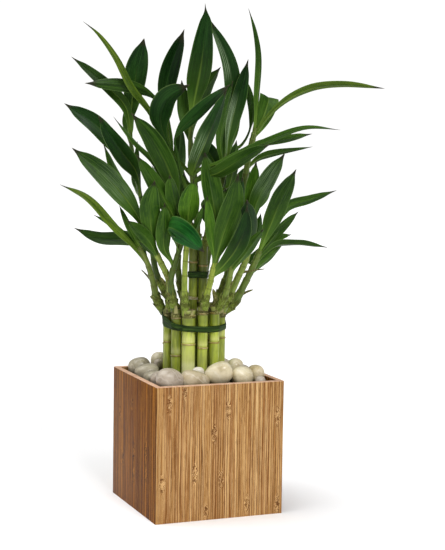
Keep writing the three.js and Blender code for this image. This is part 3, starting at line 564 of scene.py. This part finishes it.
def stem_paint():
    """Place is round the stem (0 to 1), up it in millimetres and how near to a sheath's rim (0 to 1)."""
    p = Paint("stem_green", 0.38, 0.2)
    around, up, rim = p.place()
    tint = p.read("tint", "Color")
    c, s = p.round(around)
    streak = p.noise((c, s, up * 0.012), 5, 4, 0.6)
    blotch = p.noise((c, s, up * 0.06), 1.4)
    # A pale band down the same side of every stem, partly a pale sheath edge and partly painted highlight, with a
    # darker band just inside it.
    lap_and_highlight = c + (blotch - 0.5) * 0.3
    shade = p.mix(p.span(blotch, 0.34, 0.66), tint * (0.5, 0.55, 0.5), tint)
    shade = p.over(shade, (streak, 0.47, 0.66, 0.6, tint * (1.7, 1.5, 1.8)),
                   (streak, 0.46, 0.32, 0.5, tint * (0.36, 0.44, 0.36)),
                   (lap_and_highlight, 0.86, 0.98, 0.55, (196, 208, 128)),
                   (lap_and_highlight, 0.7, 0.84, 0.35, tint * (0.4, 0.5, 0.4)),
                   (rim, 0.86, 1, 0.6, (84, 84, 36)))
    return p.done(shade, (streak, 0.34, 0.5), streak, 0.35, 0.25)


def dry_paint(name, deep, base, pale):
    """An old sheath; the place's second value is the way up it (0 to 1)."""
    p = Paint(name, 0.75, 0.2)
    x, y, z = p.split(p.inside())
    up = p.place()[1]
    fibre = p.noise((x, y, z * 0.12), 2600)
    shade = p.over(p.ramp(fibre, (0.3, deep), (0.5, base), (0.72, pale)),
                   (up, 0.55, 0.9, 0.7, deep), (up, 0.93, 1, 0.8, pale),
                   (p.noise(p.inside(), 160, 2), 0.45, 0.62, 0.7, deep))
    return p.done(shade, None, fibre, 0.6, 0.25)


def cane_paint(name, deep, bright, pale, dark, painted_shade_above):
    """Place is round the cane (0 to 1), height in millimetres and how near to a node (0 to 1); the tint's alpha is how
    pale the cane has grown. Above a given height it is darker, a painted shade at the canes' tops."""
    p = Paint(name, 0.3, 0.4)
    around, up, node = p.place()
    tint, aged = p.read("tint", "Color"), p.read("tint", "Alpha")
    c, s = p.round(around)
    c = c + p.split(tint)[0] * 40
    streak = p.noise((c, s, up * 0.006), 6, 4, 0.6)
    blotch = p.noise((c, s, up * 0.045), 1.1)
    scar = node + (blotch - 0.5) * 0.5
    shade = p.over(p.mix(p.span(blotch, 0.34, 0.64), deep, bright),
                   (streak, 0.5, 0.7, 0.55, pale), (streak, 0.46, 0.3, 0.6, dark))
    # Above the given height the cane is painted darker, as shade at its top.
    shade = p.over(p.mix(aged * p.span(streak, 0.7, 0.4, 0.35, 1), shade, pale),
                   (aged, 0.8, 1, 0.65, (232, 234, 178)), (up, painted_shade_above, painted_shade_above + 8, 0.6, dark),
                   (scar, 0.5, 0.85, 0.8, (134, 106, 46)), (scar, 0.94, 1.02, 0.8, (210, 198, 146)))
    return p.done(p.vector("MULTIPLY", shade, tint), (streak, 0.3, 0.46), streak, 0.3, 0.2)


def cut_paint():
    p = Paint("cane_cut_end", 0.7, 0.25)
    grain = p.noise(p.inside(), 900)
    shade = p.ramp(grain, (0.3, (70, 62, 32)), (0.55, (116, 106, 62)), (0.75, (160, 150, 100)))
    shade = p.over(shade, (p.noise(p.inside(), 200, 2), 0.45, 0.7, 0.6, (86, 70, 44)))
    return p.done(shade, None, grain, 0.6, 0.3)


def tie_paint():
    """Place is round the tie in millimetres, across it (-1 to 1) and the turn's number."""
    p = Paint("tie_green", 0.5, 0.12)
    around, across, turn = p.place()
    ribs = p.noise((around * 0.02, across * 3, turn), 1.6)
    # Lighter patches from one noise, partly wear of the tape and partly painted sheen; the same noise sets the
    # roughness.
    wear_and_sheen = p.noise((around * 0.05, across * 1.8, turn))
    # The band's two rims go near black: painted shade where the band meets the canes and its other turn.
    shade = p.over(p.mix(p.span(ribs, 0.3, 0.7), (12, 26, 6), (44, 70, 20)),
                   (wear_and_sheen, 0.52, 0.68, 0.6, (74, 102, 40)), (abs(across), 0.8, 0.96, 0.9, (8, 14, 6)))
    return p.done(shade, (wear_and_sheen, 0.46, 0.6), ribs, 0.5, 0.3)


def stone_paint(name, base, dark, light, vein, seed):
    p = Paint(name, 0.32, 0.5)
    place = p.vector("ADD", p.inside(), (seed, seed * 0.7, seed * 0.3))
    cloud = p.noise(place, 90, 4)
    bent = p.vector("ADD", place, p.noise(place, 70, 2, 0.5).also(1))
    wave = p.node("TexWave", {"Vector": place, "Scale": 42, "Distortion": 9, "Detail": 3, "Detail Scale": 1.4}, 1,
                  bands_direction="DIAGONAL")
    shade = p.over(p.ramp(cloud, (0.3, dark), (0.5, base), (0.72, light)), (wave, 0.93, 0.995, 0.35, vein),
                   (p.noise(bent, 1500, 2), 0.66, 0.74, 0.5, (112, 98, 78)))
    return p.done(shade, (cloud, 0.24, 0.4), p.noise(place, 420, 4), 0.12, 0.3)


def gravel_paint():
    p = Paint("gravel_bed", 0.85, 0.25)
    far = p.node("TexVoronoi", {"Vector": p.inside(), "Scale": 320})
    shade = p.ramp(p.split(far.also(1))[0], (0, (52, 46, 36)), (0.5, (98, 88, 70)), (1, (140, 130, 108)))
    # Near black in the gaps between the grains: painted shade between the stones.
    return p.done(p.over(shade, (far, 0.35, 0.75, 1, (24, 20, 14))), None, 1 - far, 0.8, 1.5)


def liner_paint():
    p = Paint("liner_black", 0.5, 0.4)
    scuff = p.noise(p.inside(), 500, 4)
    shade = p.mix(p.span(scuff, 0.45, 0.75), (22, 20, 17), (44, 40, 34))
    return p.done(shade, (scuff, 0.4, 0.62), scuff, 0.25, 0.2)


def board_paint(name, deep, base, pale, dark, knots):
    """Place is across the board and up it in millimetres, and the board's number; so are the knots."""
    p = Paint(name, 0.5, 0.1)
    place = p.read("place")
    across, up, board = p.split(place)
    shift = board * 31
    warp = p.noise((across * 0.16, up * 0.02, shift), 1, 2)
    scaled = p.vector("MULTIPLY", place, (1 / KNOT_HALF_WIDE, 1 / KNOT_HALF_HIGH, 100))
    far = 9
    for x, z, number in knots:
        middle = (x / KNOT_HALF_WIDE, z / KNOT_HALF_HIGH, number * 100)
        far = p.math("MINIMUM", far, p.vector("DISTANCE", scaled, middle, output=1))
    knot = p.span(far, 1, 0.5)
    squiggle = p.noise((across * 0.3, up * 0.42, shift), 1, 3, 0.6)
    line = across + (warp - 0.5) * 1.2 + (squiggle - 0.5) * knot * 9
    strip = line / BAMBOO_STRIP + shift
    number = p.math("FLOOR", strip)
    grain = p.noise((line, up * 0.006, shift), 1.6, 3, 0.6)
    thread = p.noise((line * 2, up * 0.012, shift), 1, 3, 0.7)
    fleck = p.noise((line * 2.6, up * 0.11, shift), 1, 2, 0.6)
    ripple = p.noise((line * 0.8, up * 0.16, shift), 1, 2, 0.5)
    shade = p.over(p.ramp(p.chance(number), (0, deep), (0.35, base), (0.7, base), (1, pale)),
                   (grain, 0.5, 0.6, 0.6, pale), (grain, 0.48, 0.38, 0.7, deep),
                   (thread, 0.53, 0.57, 0.8, dark), (thread, 0.45, 0.4, 0.6, pale),
                   (fleck, 0.6, 0.66, 0.6, dark), (fleck, 0.38, 0.32, 0.5, pale))
    off_middle = abs(p.math("FRACT", strip) - 0.5)
    joint = p.span(off_middle, 0.36, 0.46) * p.span(p.chance(number + 0.37), 0.2, 0.8, 0.1, 0.9)
    shade = p.mix(joint, shade, dark)
    shade = p.mix(knot * p.span(ripple, 0.42, 0.47, 0.55, 0), shade, pale)
    shade = p.mix(knot * p.span(ripple, 0.52, 0.57, 0, 0.85), shade, dark)
    return p.done(shade, (grain, 0.42, 0.58), grain + thread * 0.7 - joint * 0.9, 0.4, 0.25)


def edge_paint():
    """The boards' top edges, cut across the strips."""
    p = Paint("planter_rim", 0.55, 0.35)
    own = p.chance(p.math("FLOOR", p.place()[0] / RIM_STRIP))
    pores = p.noise(p.inside(), 2600, 2)
    shade = p.over(p.mix(own, (200, 158, 128), (220, 184, 154)), (pores, 0.55, 0.75, 0.5, (166, 118, 88)))
    return p.done(shade, None, pores, 0.3, 0.15)


def base_paint():
    """The planter's base, seen only from underneath."""
    p = Paint("planter_base", 0.6, 0.3)
    x, y, z = p.split(p.inside())
    grain = p.noise((x * 30, y, z), 26, 4, 0.65)
    shade = p.ramp(grain, (0.3, (136, 92, 50)), (0.5, (172, 126, 74)), (0.7, (200, 156, 102)))
    return p.done(shade, None, grain, 0.4, 0.25)


# Plant

TONES = {
    "": ((31, 59, 14), (50, 84, 23)),
    "dark": ((15, 44, 11), (23, 56, 17)),
    # light: a lighter green, partly the leaf's own tone and partly painted glow of light shining through the thin
    # blade.
    "light": ((52, 90, 18), (62, 102, 24)),
    "bluish": ((19, 74, 26), (23, 80, 28)),
    "olive": ((66, 92, 24), (76, 100, 28)),
}
REMNANTS = {
    "outer_07": [(0.14, (-43.5, 190, 2), 6), (0.42, (-52, 214.5, -4), 3)],
    "outer_12": [(0.3, (50.5, 197.5, 4), 4)],
    "outer_06": [(0.28, (-35, 208, -14), 5)],
    "outer_05": [(0.1, (-28, 194, -24), 5), (0.3, (-31, 211, -24), 4)],
    "outer_01": [(0.52, (61.5, 216.5, -12), 2.6)],
    "outer_02": [(0.2, (32, 206, -25), 4), (0.03, (13.5, 198, -14), 8)],
    "outer_10": [(0.1, (1, 204, 24), 4.5)],
}


def blade_width(s, a):
    """A clasping sheath at the foot, then a lance shape that closes to a fine drip tip."""
    u = max(0, (s - a.neck) / (1 - a.neck))
    lance = max(0.0, sin(pi * u ** a.peak)) ** 0.8
    lance *= (1 - a.drip * smooth(u, 0.84, 0.97)) * (0.25 + 0.75 * smooth(u, -0.1, a.taper)) * 1.02
    return SHEATH_WIDE * (1 - s) ** SHEATH_RUN + a.wide * lance


def add_leaf(build, stem, a, random, number):
    """A folded blade with a keel under its middle; its foot clasps the stem."""
    foot = a.at * ROOT_SINK
    points = [stem.at(foot)] + [spot(p) for p in a.through]
    outward, first = unit(points[1] - points[0]), stem.heading(foot)
    curve = Path(points, unit(first + (outward - first) * (1 - ROOT_HUG)))
    steps = min(len(a.through) * 2, 4) + len(a.through) - 1
    known = (steps // 2) / steps
    heading = curve.heading(known)
    side = unit(np.cross(heading, AWAY if abs(heading.dot(AWAY)) < END_ON else UP))
    turn = radians(a.turn)
    side = side * cos(turn) + np.cross(heading, side) * sin(turn)
    hand = -1 if np.cross(heading, side)[2] < 0 else 1
    stations = [1 - (1 - i / LEAF_RINGS) ** 1.15 for i in range(LEAF_RINGS)]
    wave, phase, curl, mix = random.uniform((0.5, 0, -0.12, 0), (1.6, ANY_PHASE, 0.16, 1))
    tint = linear(dark + (bright - dark) * mix for dark, bright in zip(*TONES[a.tone]))
    # Where along the leaf, on which half and how strongly the painted sheen lies.
    begin, stop, half_only, sheen_strength = a.gleam
    for s, centre, across, other in curve.frames(stations, known, side):
        normal = other * hand
        half = blade_width(s, a) / 2
        fold = BLADE_FOLD + FOOT_FOLD * max(0, 1 - s / 0.16) ** 2
        # How much of the painted sheen lies at this station.
        pale = smooth(s, begin, begin + 0.12) * (1 - smooth(s, stop - 0.2, stop))
        upper, lower, places, shades = [], [], [], []
        for x in LEAF_COLUMNS:
            slim = min(1, half / 3)
            lift = (sqrt(x * x + 0.012) - 0.11) * half * sin(fold)
            lift += half * x * x * (curl + 0.09 * sin(ANY_PHASE * wave * s * 2 + phase + (1.3 if x > 0 else 0)))
            lift -= 0.22 * bell(x * half, 0.5) * slim
            thin = 0.13 + 0.17 * (1 - abs(x)) ** 0.5
            keel = 0.25 * bell(x * half, 0.6) * slim
            point = centre + across * (hand * x * half * cos(fold)) + normal * lift
            upper.append(point + normal * thin)
            lower.append(point - normal * (thin + keel))
            places.append((x, s, number))
            left = -x * hand * across[0]
            seen = 1 if half_only == 0 else smooth(-half_only * left, -0.1, 0.15)
            shades.append((*tint, sheen_strength * pale * seen))
        build.ring(upper + lower[::-1], places=places + places[::-1], tints=shades + shades[::-1])
    build.close(0, curve.at(1))


def add_stem(build, stem, foot, tip, leaves, shade, random):
    """A stem of sheaths, each a little wider at its rim than the foot of the next."""
    rims = sorted(a.at * ROOT_SINK for a in leaves)
    gap, first_leaf = rims[0] - 0.06, rims[0] - 1e-6
    count = max(1, int(gap * stem.length / 13))
    rims = [0.0] + [gap * (i + 0.6 + random.uniform(-0.15, 0.15)) / count for i in range(count)] + rims
    stations = {i / 70 for i in range(71)}
    for rim in rims[1:]:
        stations.update((max(0, rim - 0.001), min(1, rim + 0.5 / stem.length)))
    stations = sorted(stations)
    for s, centre, side, other in stem.frames(stations):
        start = max(r for r in rims if r <= s)
        end = min([r for r in rims if r > s], default=1.05)
        rise = (s - start) / max(end - start, 1e-3)
        swell = 0.06 if end <= first_leaf else 0.16
        radius = (foot + (0.84 * tip - foot) * s) * (0.96 + swell * rise**2.2) * (1 + 0.12 * exp(-((s * 9) ** 2)))
        if s > 0.985:
            radius *= 0.8
        build.ring([beside(centre, side, other, radius * (1 + 0.04 * cos(2 * t + 7 * start)), t)
                    for t in angles(STEM_FACETS)], s * stem.length, rise if end - start > 0.03 else 0.5, tints=[shade])
    build.close(1)


def add_scale(build, stem, at, angle, long, wide, flare):
    """A dry scale leaf that clasps the stem and lifts off at its tip."""
    heading, foot = stem.heading(at), stem.at(at)
    side = unit(np.cross(heading, AWAY))
    out = side * cos(angle) + np.cross(heading, side) * sin(angle)
    along = np.cross(out, heading)
    for i in range(9):
        t = i / 8
        spread = wide * (1 - 0.98 * t) ** 0.7 / 2
        centre = foot + heading * (long * t) + out * (SCALE_OUT + flare * t * t - 0.8 * (1 - t) ** 3)
        middle = [centre + along * (x * spread) + out * (-0.22 * wide * (1 - 0.6 * t) * x * x) for x in STRIP_COLUMNS]
        build.ring([p + out * 0.15 for p in middle] + [p - out * 0.15 for p in middle[::-1]], t)
    build.close(2, foot + heading * (long * 1.06) + out * (SCALE_OUT + flare * 1.1))


def add_remnant(build, stem, at, tip, wide):
    """The dried end of an old leaf, thin and bent."""
    root, end, heading = stem.at(at), spot(tip), stem.heading(at)
    curve = Path([root, (root + end) / 2 + heading * 1.5, end], heading)
    stations = [i / 9 for i in range(9)]
    for s, centre, side, other in curve.frames(stations):
        r = wide / 2 * (1 - s) ** 0.6 * (1 + 0.15 * sin(9 * s))
        build.ring([beside(centre, side, other, r, t, 0.45) for t in angles(REMNANT_FACETS)])
    build.close(2, end)


def add_collar(build, stem, low, high, radius, flare, random):
    """An old sheath round the stem with a torn, slightly flared rim."""
    torn = random.uniform(0, 1, 8)
    rim = [high - (high - low) * 0.55 * torn[k // 3] * abs(sin(k * 0.9)) for k in range(COLLAR_FACETS)]
    for f, out in ((0, -0.3), (0.03, 0.25), (0.5, 0.35), (1, 0.5), (1, 0.2), (0.5, 0), (0.03, -0.2)):
        ring = []
        for edge, angle in zip(rim, angles(COLLAR_FACETS)):
            s = low + (edge - low) * f
            heading = stem.heading(s)
            side = unit(stem.side - heading * stem.side.dot(heading))
            r = radius + out + flare * f * f * (0.6 + 0.4 * sin(angle * 2 + low * 40))
            ring.append(beside(stem.at(s), side, np.cross(heading, side), r, angle))
        build.ring(ring, f)
    build.close(3)


def cane_place(a, inner):
    distance = INNER_RING if inner else BUNDLE_RADIUS - a.radius
    x, y = (0, INNER_BEHIND) if inner else (BUNDLE_ACROSS, 0)
    return polar(x, y, 0, distance, radians(a.angle))[:2]


def add_sleeve(build, x, y, radius, low, high, ragged, random):
    """A papery sheath round a cane's top, torn along its rim."""
    tears = random.uniform(0, 1, 9) ** 2 * ragged
    rim = [high + tears[k // 4] * (0.4 + 0.6 * abs(sin(k * 0.8))) for k in range(SLEEVE_FACETS)]
    for f, out in ((0, 0.1), (0.02, 0.3), (0.5, 0.42), (1, 0.6), (1, 0.35), (0.5, 0.12), (0.02, 0.05)):
        build.ring([polar(x, y, low + (edge - low) * f, radius + out + 0.15 * sin(3 * t + high), t)
                    for edge, t in zip(rim, angles(SLEEVE_FACETS))], f)
    build.close(2)


def add_strip(build, x, y, radius, angle, low, high, wide, flare, kind):
    """A torn strip of sheath that stands up from a cane's top."""
    for i in range(8):
        t = i / 8
        spread = wide / radius / 2 * (1 - t) ** 0.55
        r = radius + 0.25 + flare * t**2.5
        sides = [(r + 0.22, w) for w in STRIP_COLUMNS] + [(r, w) for w in STRIP_COLUMNS[::-1]]
        build.ring([polar(x, y, low + (high - low) * t, out, angle + spread * w) for out, w in sides], i)
    build.close(kind, polar(x, y, high, radius + 0.3 + flare, angle))


def add_cane(a, name, inner, materials, random):
    build = Build()
    x, y = cane_place(a, inner)
    nodes, top, radius = a.nodes, a.top, a.radius - CANE_SLACK
    heights = set(np.linspace(CANE_FOOT_Z, top - CUT_ROUND, 40))
    for n in nodes:
        heights.update(n + d for d in np.linspace(-2.4, 2.4, 13) if n + d < top - CUT_ROUND)
    oval, lean = random.uniform(0, (0.02, ANY_PHASE))
    for z in sorted(heights):
        r = radius
        for n in nodes:
            r += 0.62 * bell(z - n, 0.85) - 0.4 * bell(z - n - 1.2, 0.4)
        pale = a.aged * (1.3 - 1.05 * smooth(z, 120, 160)) + 0.8 * max(bell(z - n - 4, 2.6) for n in nodes)
        build.ring([polar(x, y, z, r * (1 - oval + oval * cos(2 * (t - lean))), t) for t in angles(CANE_FACETS)], z,
                   max(bell(z - n, 1.3) for n in nodes), tints=[(a.level, a.level, a.level * 0.96, min(1, pale))])
    build.close(0)
    for share, drop in ((1, CUT_ROUND), (0.93, 0.08), (0.8, 0), (0.45, 0.25)):
        build.ring([polar(x, y, top - drop, radius * share, t) for t in angles(CANE_FACETS)], top)
    build.close(1, (x, y, top - 0.35))
    for k in range(0 if inner else 5):
        angle, down, above, wide, flare = random.uniform((0, 4, -1, 2, 0.2), (ANY_PHASE, 8, 4.5, 4, 2.2))
        add_strip(build, x, y, a.radius, angle, top - down, top + above, wide, flare, 2 + k // 4)
    low, high, ragged = (nodes[0] - 1.5, nodes[0] + 0.3, 1.6) if inner else (top - 7.5, top - 4, 3)
    add_sleeve(build, x, y, a.radius, low, high, ragged, random)
    build.piece(f"cane_{name}", materials)


def hull_radius(theta, circles, centre):
    """How far from the centre the tightest band round the circles runs in the direction theta."""
    found = []
    for phi in np.linspace(theta - 1.2, theta + 1.2, 97):
        n = np.array((cos(phi), sin(phi)))
        found.append(max((np.array(c) - centre) @ n + r for c, r in circles) / cos(phi - theta))
    return min(found)


def add_tie(name, circles, centre, z, lean, height, turns, material, sides):
    """Turns of flat band: each has its start, sweep, lift at both ends, roll and how far out it lies."""
    build = Build()
    for number, (start, sweep, lift, roll, out) in enumerate(turns):
        for share in (i / sides for i in range(sides + 1)):
            theta = start + sweep * share
            base = hull_radius(theta, circles, centre) + out * min(1, 14 * share, 14 * (1 - share) + 0.35)
            level = z + lift[0] + (lift[1] - lift[0]) * smooth(share, 0.42, 1)
            level += roll * (1 + sin(theta)) - roll + 0.12 * sin(3 * theta + number)
            half = height / 2 * (1 + 0.03 * sin(5 * theta + number * 2))
            ring = [(base + off + 0.05, across * half) for across, off in TIE_SECTION]
            build.ring([polar(*centre, level + up - lean * r * cos(theta), r, theta) for r, up in ring],
                       places=[(share * 180, across, number) for across, off in TIE_SECTION])
        build.close(0)
    build.piece(name, [material], sharp=70)


def add_plant():
    random = np.random.default_rng(7)
    leaf_green, stem_green = leaf_paint(), stem_paint()
    dry = dry_paint("dry_sheath", (54, 50, 20), (96, 98, 42), (168, 164, 108))
    husk = dry_paint("green_sheath", (72, 76, 26), (114, 136, 46), (166, 176, 96))
    paper = dry_paint("papery_sheath", (150, 142, 98), (196, 190, 152), (232, 228, 202))
    # The last number is the height above which the cane is painted darker, as shade.
    outer_green = cane_paint("cane_green", (122, 138, 16), (172, 190, 36), (214, 216, 136), (84, 98, 18), 163)
    inner_green = cane_paint("inner_cane_green", (104, 120, 30), (146, 160, 44), (168, 178, 78), (46, 58, 18),
                             203)
    cut, tie = cut_paint(), tie_paint()
    outer_circles, inner_circles, number = [], [], 0
    for name, (a, tone, (foot, tip), path, leaves) in STALKS.items():
        inner = name.startswith("inner")
        (inner_circles if inner else outer_circles).append((cane_place(a, inner), a.radius + 0.1))
        add_cane(a, name, inner, [inner_green if inner else outer_green, cut, paper if inner else dry, paper], random)
        points = [spot(p) for p in path]
        stem = Path(points, unit(points[1] - points[0]))
        build = Build()
        add_stem(build, stem, foot, tip, leaves, linear(tone), random)
        for blade in leaves:
            number += 1
            add_leaf(build, stem, blade, random, number)
        for remnant in REMNANTS.get(name, ()):
            add_remnant(build, stem, *remnant)
        for low, high, wider, flare in ((0.07, 8, 1.05, 1.2), (0.1, 14, 0.99, 0.7)):
            add_collar(build, stem, low, high / stem.length + low, foot * wider, flare, random)
        for _ in range(1 if inner else 2):
            add_scale(build, stem, *random.uniform((0.03, 3.4, 6, 4.5, 0.3), (0.2, 6, 10, 6.5, 1.6)))
        build.piece(f"shoot_{name}", [leaf_green, stem_green, dry, husk])
    add_tie("tie_lower", outer_circles, np.array((BUNDLE_ACROSS, 0)), LOWER_TIE_Z,
            tan(radians(LOWER_TIE_LEAN)), 5.6,
            [(radians(196), 6.6, (0.2, 0), 2.2, 0.1), (radians(118), 2.3, (6.9, 0.2), 2.2, 0.8)], tie, 144)
    add_tie("tie_upper", inner_circles, np.array((0, INNER_BEHIND)), UPPER_TIE_Z, 0, 5.8,
            [(radians(80), 6.6, (0, 0), 0, 0.1)], tie, 72)


# Planter

# Across and up the front board, and the board's number
FRONT_KNOTS = [(x, z, 0) for x, z in (
    (-48, 104), (-34, 117), (7, 96), (-6, 76), (-24, 42), (-54, 36), (1, 36), (-13, 6), (26, 11), (55, 8), (54, 88))]
# Base, dark, light and vein colours, and where in the noise each kind of stone lies
STONES = {
    "beige": ((222, 210, 176), (196, 182, 146), (236, 226, 198), (242, 236, 218), 0),
    "grey": ((180, 168, 151), (152, 139, 122), (198, 187, 170), (218, 208, 194), 1.3),
    "yellow": ((202, 186, 146), (176, 156, 110), (222, 210, 180), (186, 156, 104), 2.9),
    "white": ((222, 216, 200), (196, 188, 168), (240, 236, 226), (244, 240, 232), 4.1),
    # dark: the grey stone made darker, partly the stones' own tone and partly painted shade on the pebbles at the back
    # left.
    "dark": ((158, 150, 128), (128, 120, 100), (178, 170, 148), (196, 190, 172), 5.2),
    "sand": ((182, 167, 136), (152, 137, 107), (200, 187, 158), (230, 222, 202), 6.6),
}


def taken(mesh):
    """The points and faces of a bmesh, which is freed."""
    points = np.array([v.co[:] for v in mesh.verts])
    faces = [tuple(v.index for v in f.verts) for f in mesh.faces]
    mesh.free()
    return points, faces


def add_pebble(a, name, material, random):
    """A ball pulled to the pebble's size, a little square, fuller at one end and uneven."""
    ball = bmesh.new()
    bmesh.ops.create_icosphere(ball, subdivisions=5, radius=1)
    d, faces = taken(ball)
    points = np.sign(d) * np.abs(d) ** PEBBLE_SQUARENESS * np.array(a.half)
    points[:, 1:] *= (1 + a.taper * d[:, 0])[:, None]
    rough = np.zeros(len(d))
    for scale, size in ((1.3, 0.028), (2.4, 0.016), (4.4, 0.006)):
        w = random.normal(size=(3, 3)) * scale
        rough += size * np.sin(d @ w[0] + random.uniform(0, 6)) * np.cos(d @ w[1] + random.uniform(0, 6))
    points = points * (1 + rough - 0.02)[:, None]
    points = turned(turned(points, "y", a.tip), "z", a.turn) + np.array(a.at)
    build = Build()
    build.add(points, faces, [0] * len(faces), d)
    build.piece(name, [material], turn=0)


def add_panels(front, shaded_side_paint, rim):
    """Four mitred boards, each made as the front one and turned into place, with rounded rims and corners."""
    half, inner = PLANTER_SIDE / 2, PLANTER_SIDE / 2 - PANEL_THICK
    corners = [(-half, -half), (half, -half), (inner, -inner), (-inner, -inner)]
    for number, side in enumerate(("front", "right", "back", "left")):
        board = bmesh.new()
        low, high = ([board.verts.new((x, y, z)) for x, y in corners] for z in (0, PLANTER_SIDE))
        board.faces.new(low[::-1])
        board.faces.new(high)
        for k in range(4):
            board.faces.new((low[k], low[(k + 1) % 4], high[(k + 1) % 4], high[k]))
        at_top = [e for e in board.edges if all(v.co.z > 1 for v in e.verts)]
        upright = [e for e in board.edges if e.verts[0].co.z != e.verts[1].co.z and abs(e.verts[0].co.x) == half]
        bmesh.ops.bevel(board, geom=at_top + upright, offset=PANEL_ROUND, offset_type="OFFSET", segments=2,
                        profile=0.5, affect="EDGES")
        board.verts.ensure_lookup_table()
        board.faces.ensure_lookup_table()
        board.normal_update()
        kinds = [1 if f.normal.z > 0.35 else 0 for f in board.faces]
        points, faces = taken(board)
        places = np.column_stack((points[:, 0], points[:, 2], np.full(len(points), number)))
        build = Build()
        build.add(turned(points, "z", number * 90), faces, kinds, places)
        paint = front if number in (0, 2) else shaded_side_paint
        build.piece(f"planter_panel_{side}", [paint, rim], turn=0, sharp=25)


def coat(node, material):
    """A CAD piece keeps its form and takes a procedural material."""
    for held in bpy.data.objects[node].material_slots:
        held.material = material


def add_planter():
    random = np.random.default_rng(5)
    others = [(random.uniform(-56, 56), random.uniform(4, 116), board) for board in (1, 2, 3) for _ in range(8)]
    front = board_paint("planter_boards", (146, 95, 46), (176, 130, 74), (222, 182, 126), (92, 50, 20),
                        FRONT_KNOTS + [k for k in others if k[2] == 2])
    # The side boards are darker than the front and back: partly the bamboo's own change of colour with the angle of
    # its grain, partly painted shade on the faces turned from the light.
    side = board_paint("planter_side_boards_shaded", (72, 30, 2), (114, 58, 4), (190, 126, 46), (32, 11, 1),
                       [k for k in others if k[2] != 2])
    add_panels(front, side, edge_paint())
    coat("planter_base", base_paint())
    coat("liner", liner_paint())
    coat("gravel_bed", gravel_paint())
    random = np.random.default_rng(21)
    stones = {kind: stone_paint(f"pebble_{kind}", *look) for kind, look in STONES.items()}
    for i, a in enumerate(PEBBLES, 1):
        add_pebble(a, f"pebble_{i:02d}", stones[a.stone], random)


# Floor, light and camera

def add_floor():
    bpy.ops.mesh.primitive_plane_add(size=12, location=(0, 0, 0))
    floor = bpy.context.object
    floor.name = "floor"
    p = Paint("pale_floor", 0.9, 0.1)
    floor.data.materials.append(p.done(p.mix(p.noise(p.inside(), 3), (251, 251, 252), (254, 254, 254))))


def aim(made, way, roll=0):
    made.rotation_mode = "QUATERNION"
    made.rotation_quaternion = Vector(way).to_track_quat("-Z", "Y") @ Quaternion((0, 0, 1), radians(roll))


def add_sun(name, energy, angle, way):
    lamp = bpy.data.lights.new(name, "SUN")
    lamp.energy, lamp.angle = energy, radians(angle)
    aim(link(name, lamp), way)


def add_sky():
    """White, and weaker as a light than as the background that the camera sees."""
    world = bpy.context.scene.world or bpy.data.worlds.new("studio")
    bpy.context.scene.world = world
    world.use_nodes = True
    tree = world.node_tree
    back = tree.nodes["Background"].inputs
    back[0].default_value = (1, 1, 1, 1)
    level = tree.nodes.new("ShaderNodeMapRange")
    level.inputs[3].default_value, level.inputs[4].default_value = 0.15, 1.05
    tree.links.new(tree.nodes.new("ShaderNodeLightPath").outputs[0], level.inputs[0])
    tree.links.new(level.outputs[0], back[1])


def add_camera():
    lens = bpy.data.cameras.new("camera")
    lens.lens, lens.sensor_width, lens.sensor_fit = 91.93, 36, "AUTO"
    lens.clip_start, lens.clip_end = 0.05, 50
    made = link("camera", lens)
    made.location = (-0.4591, -1.1790, 0.3307)
    aim(made, Vector((0.02045, -0.00838, 0.2102)) - made.location, 0.86)
    bpy.context.scene.camera = made


add_plant()
add_planter()
add_floor()
add_sun("key", 1.75, 24, (-0.1, 0.8, -0.56))
add_sun("overhead", 2.7, 56, (0.3, -0.08, -1))
add_camera()
add_sky()
bpy.context.scene.view_settings.view_transform = "Standard"
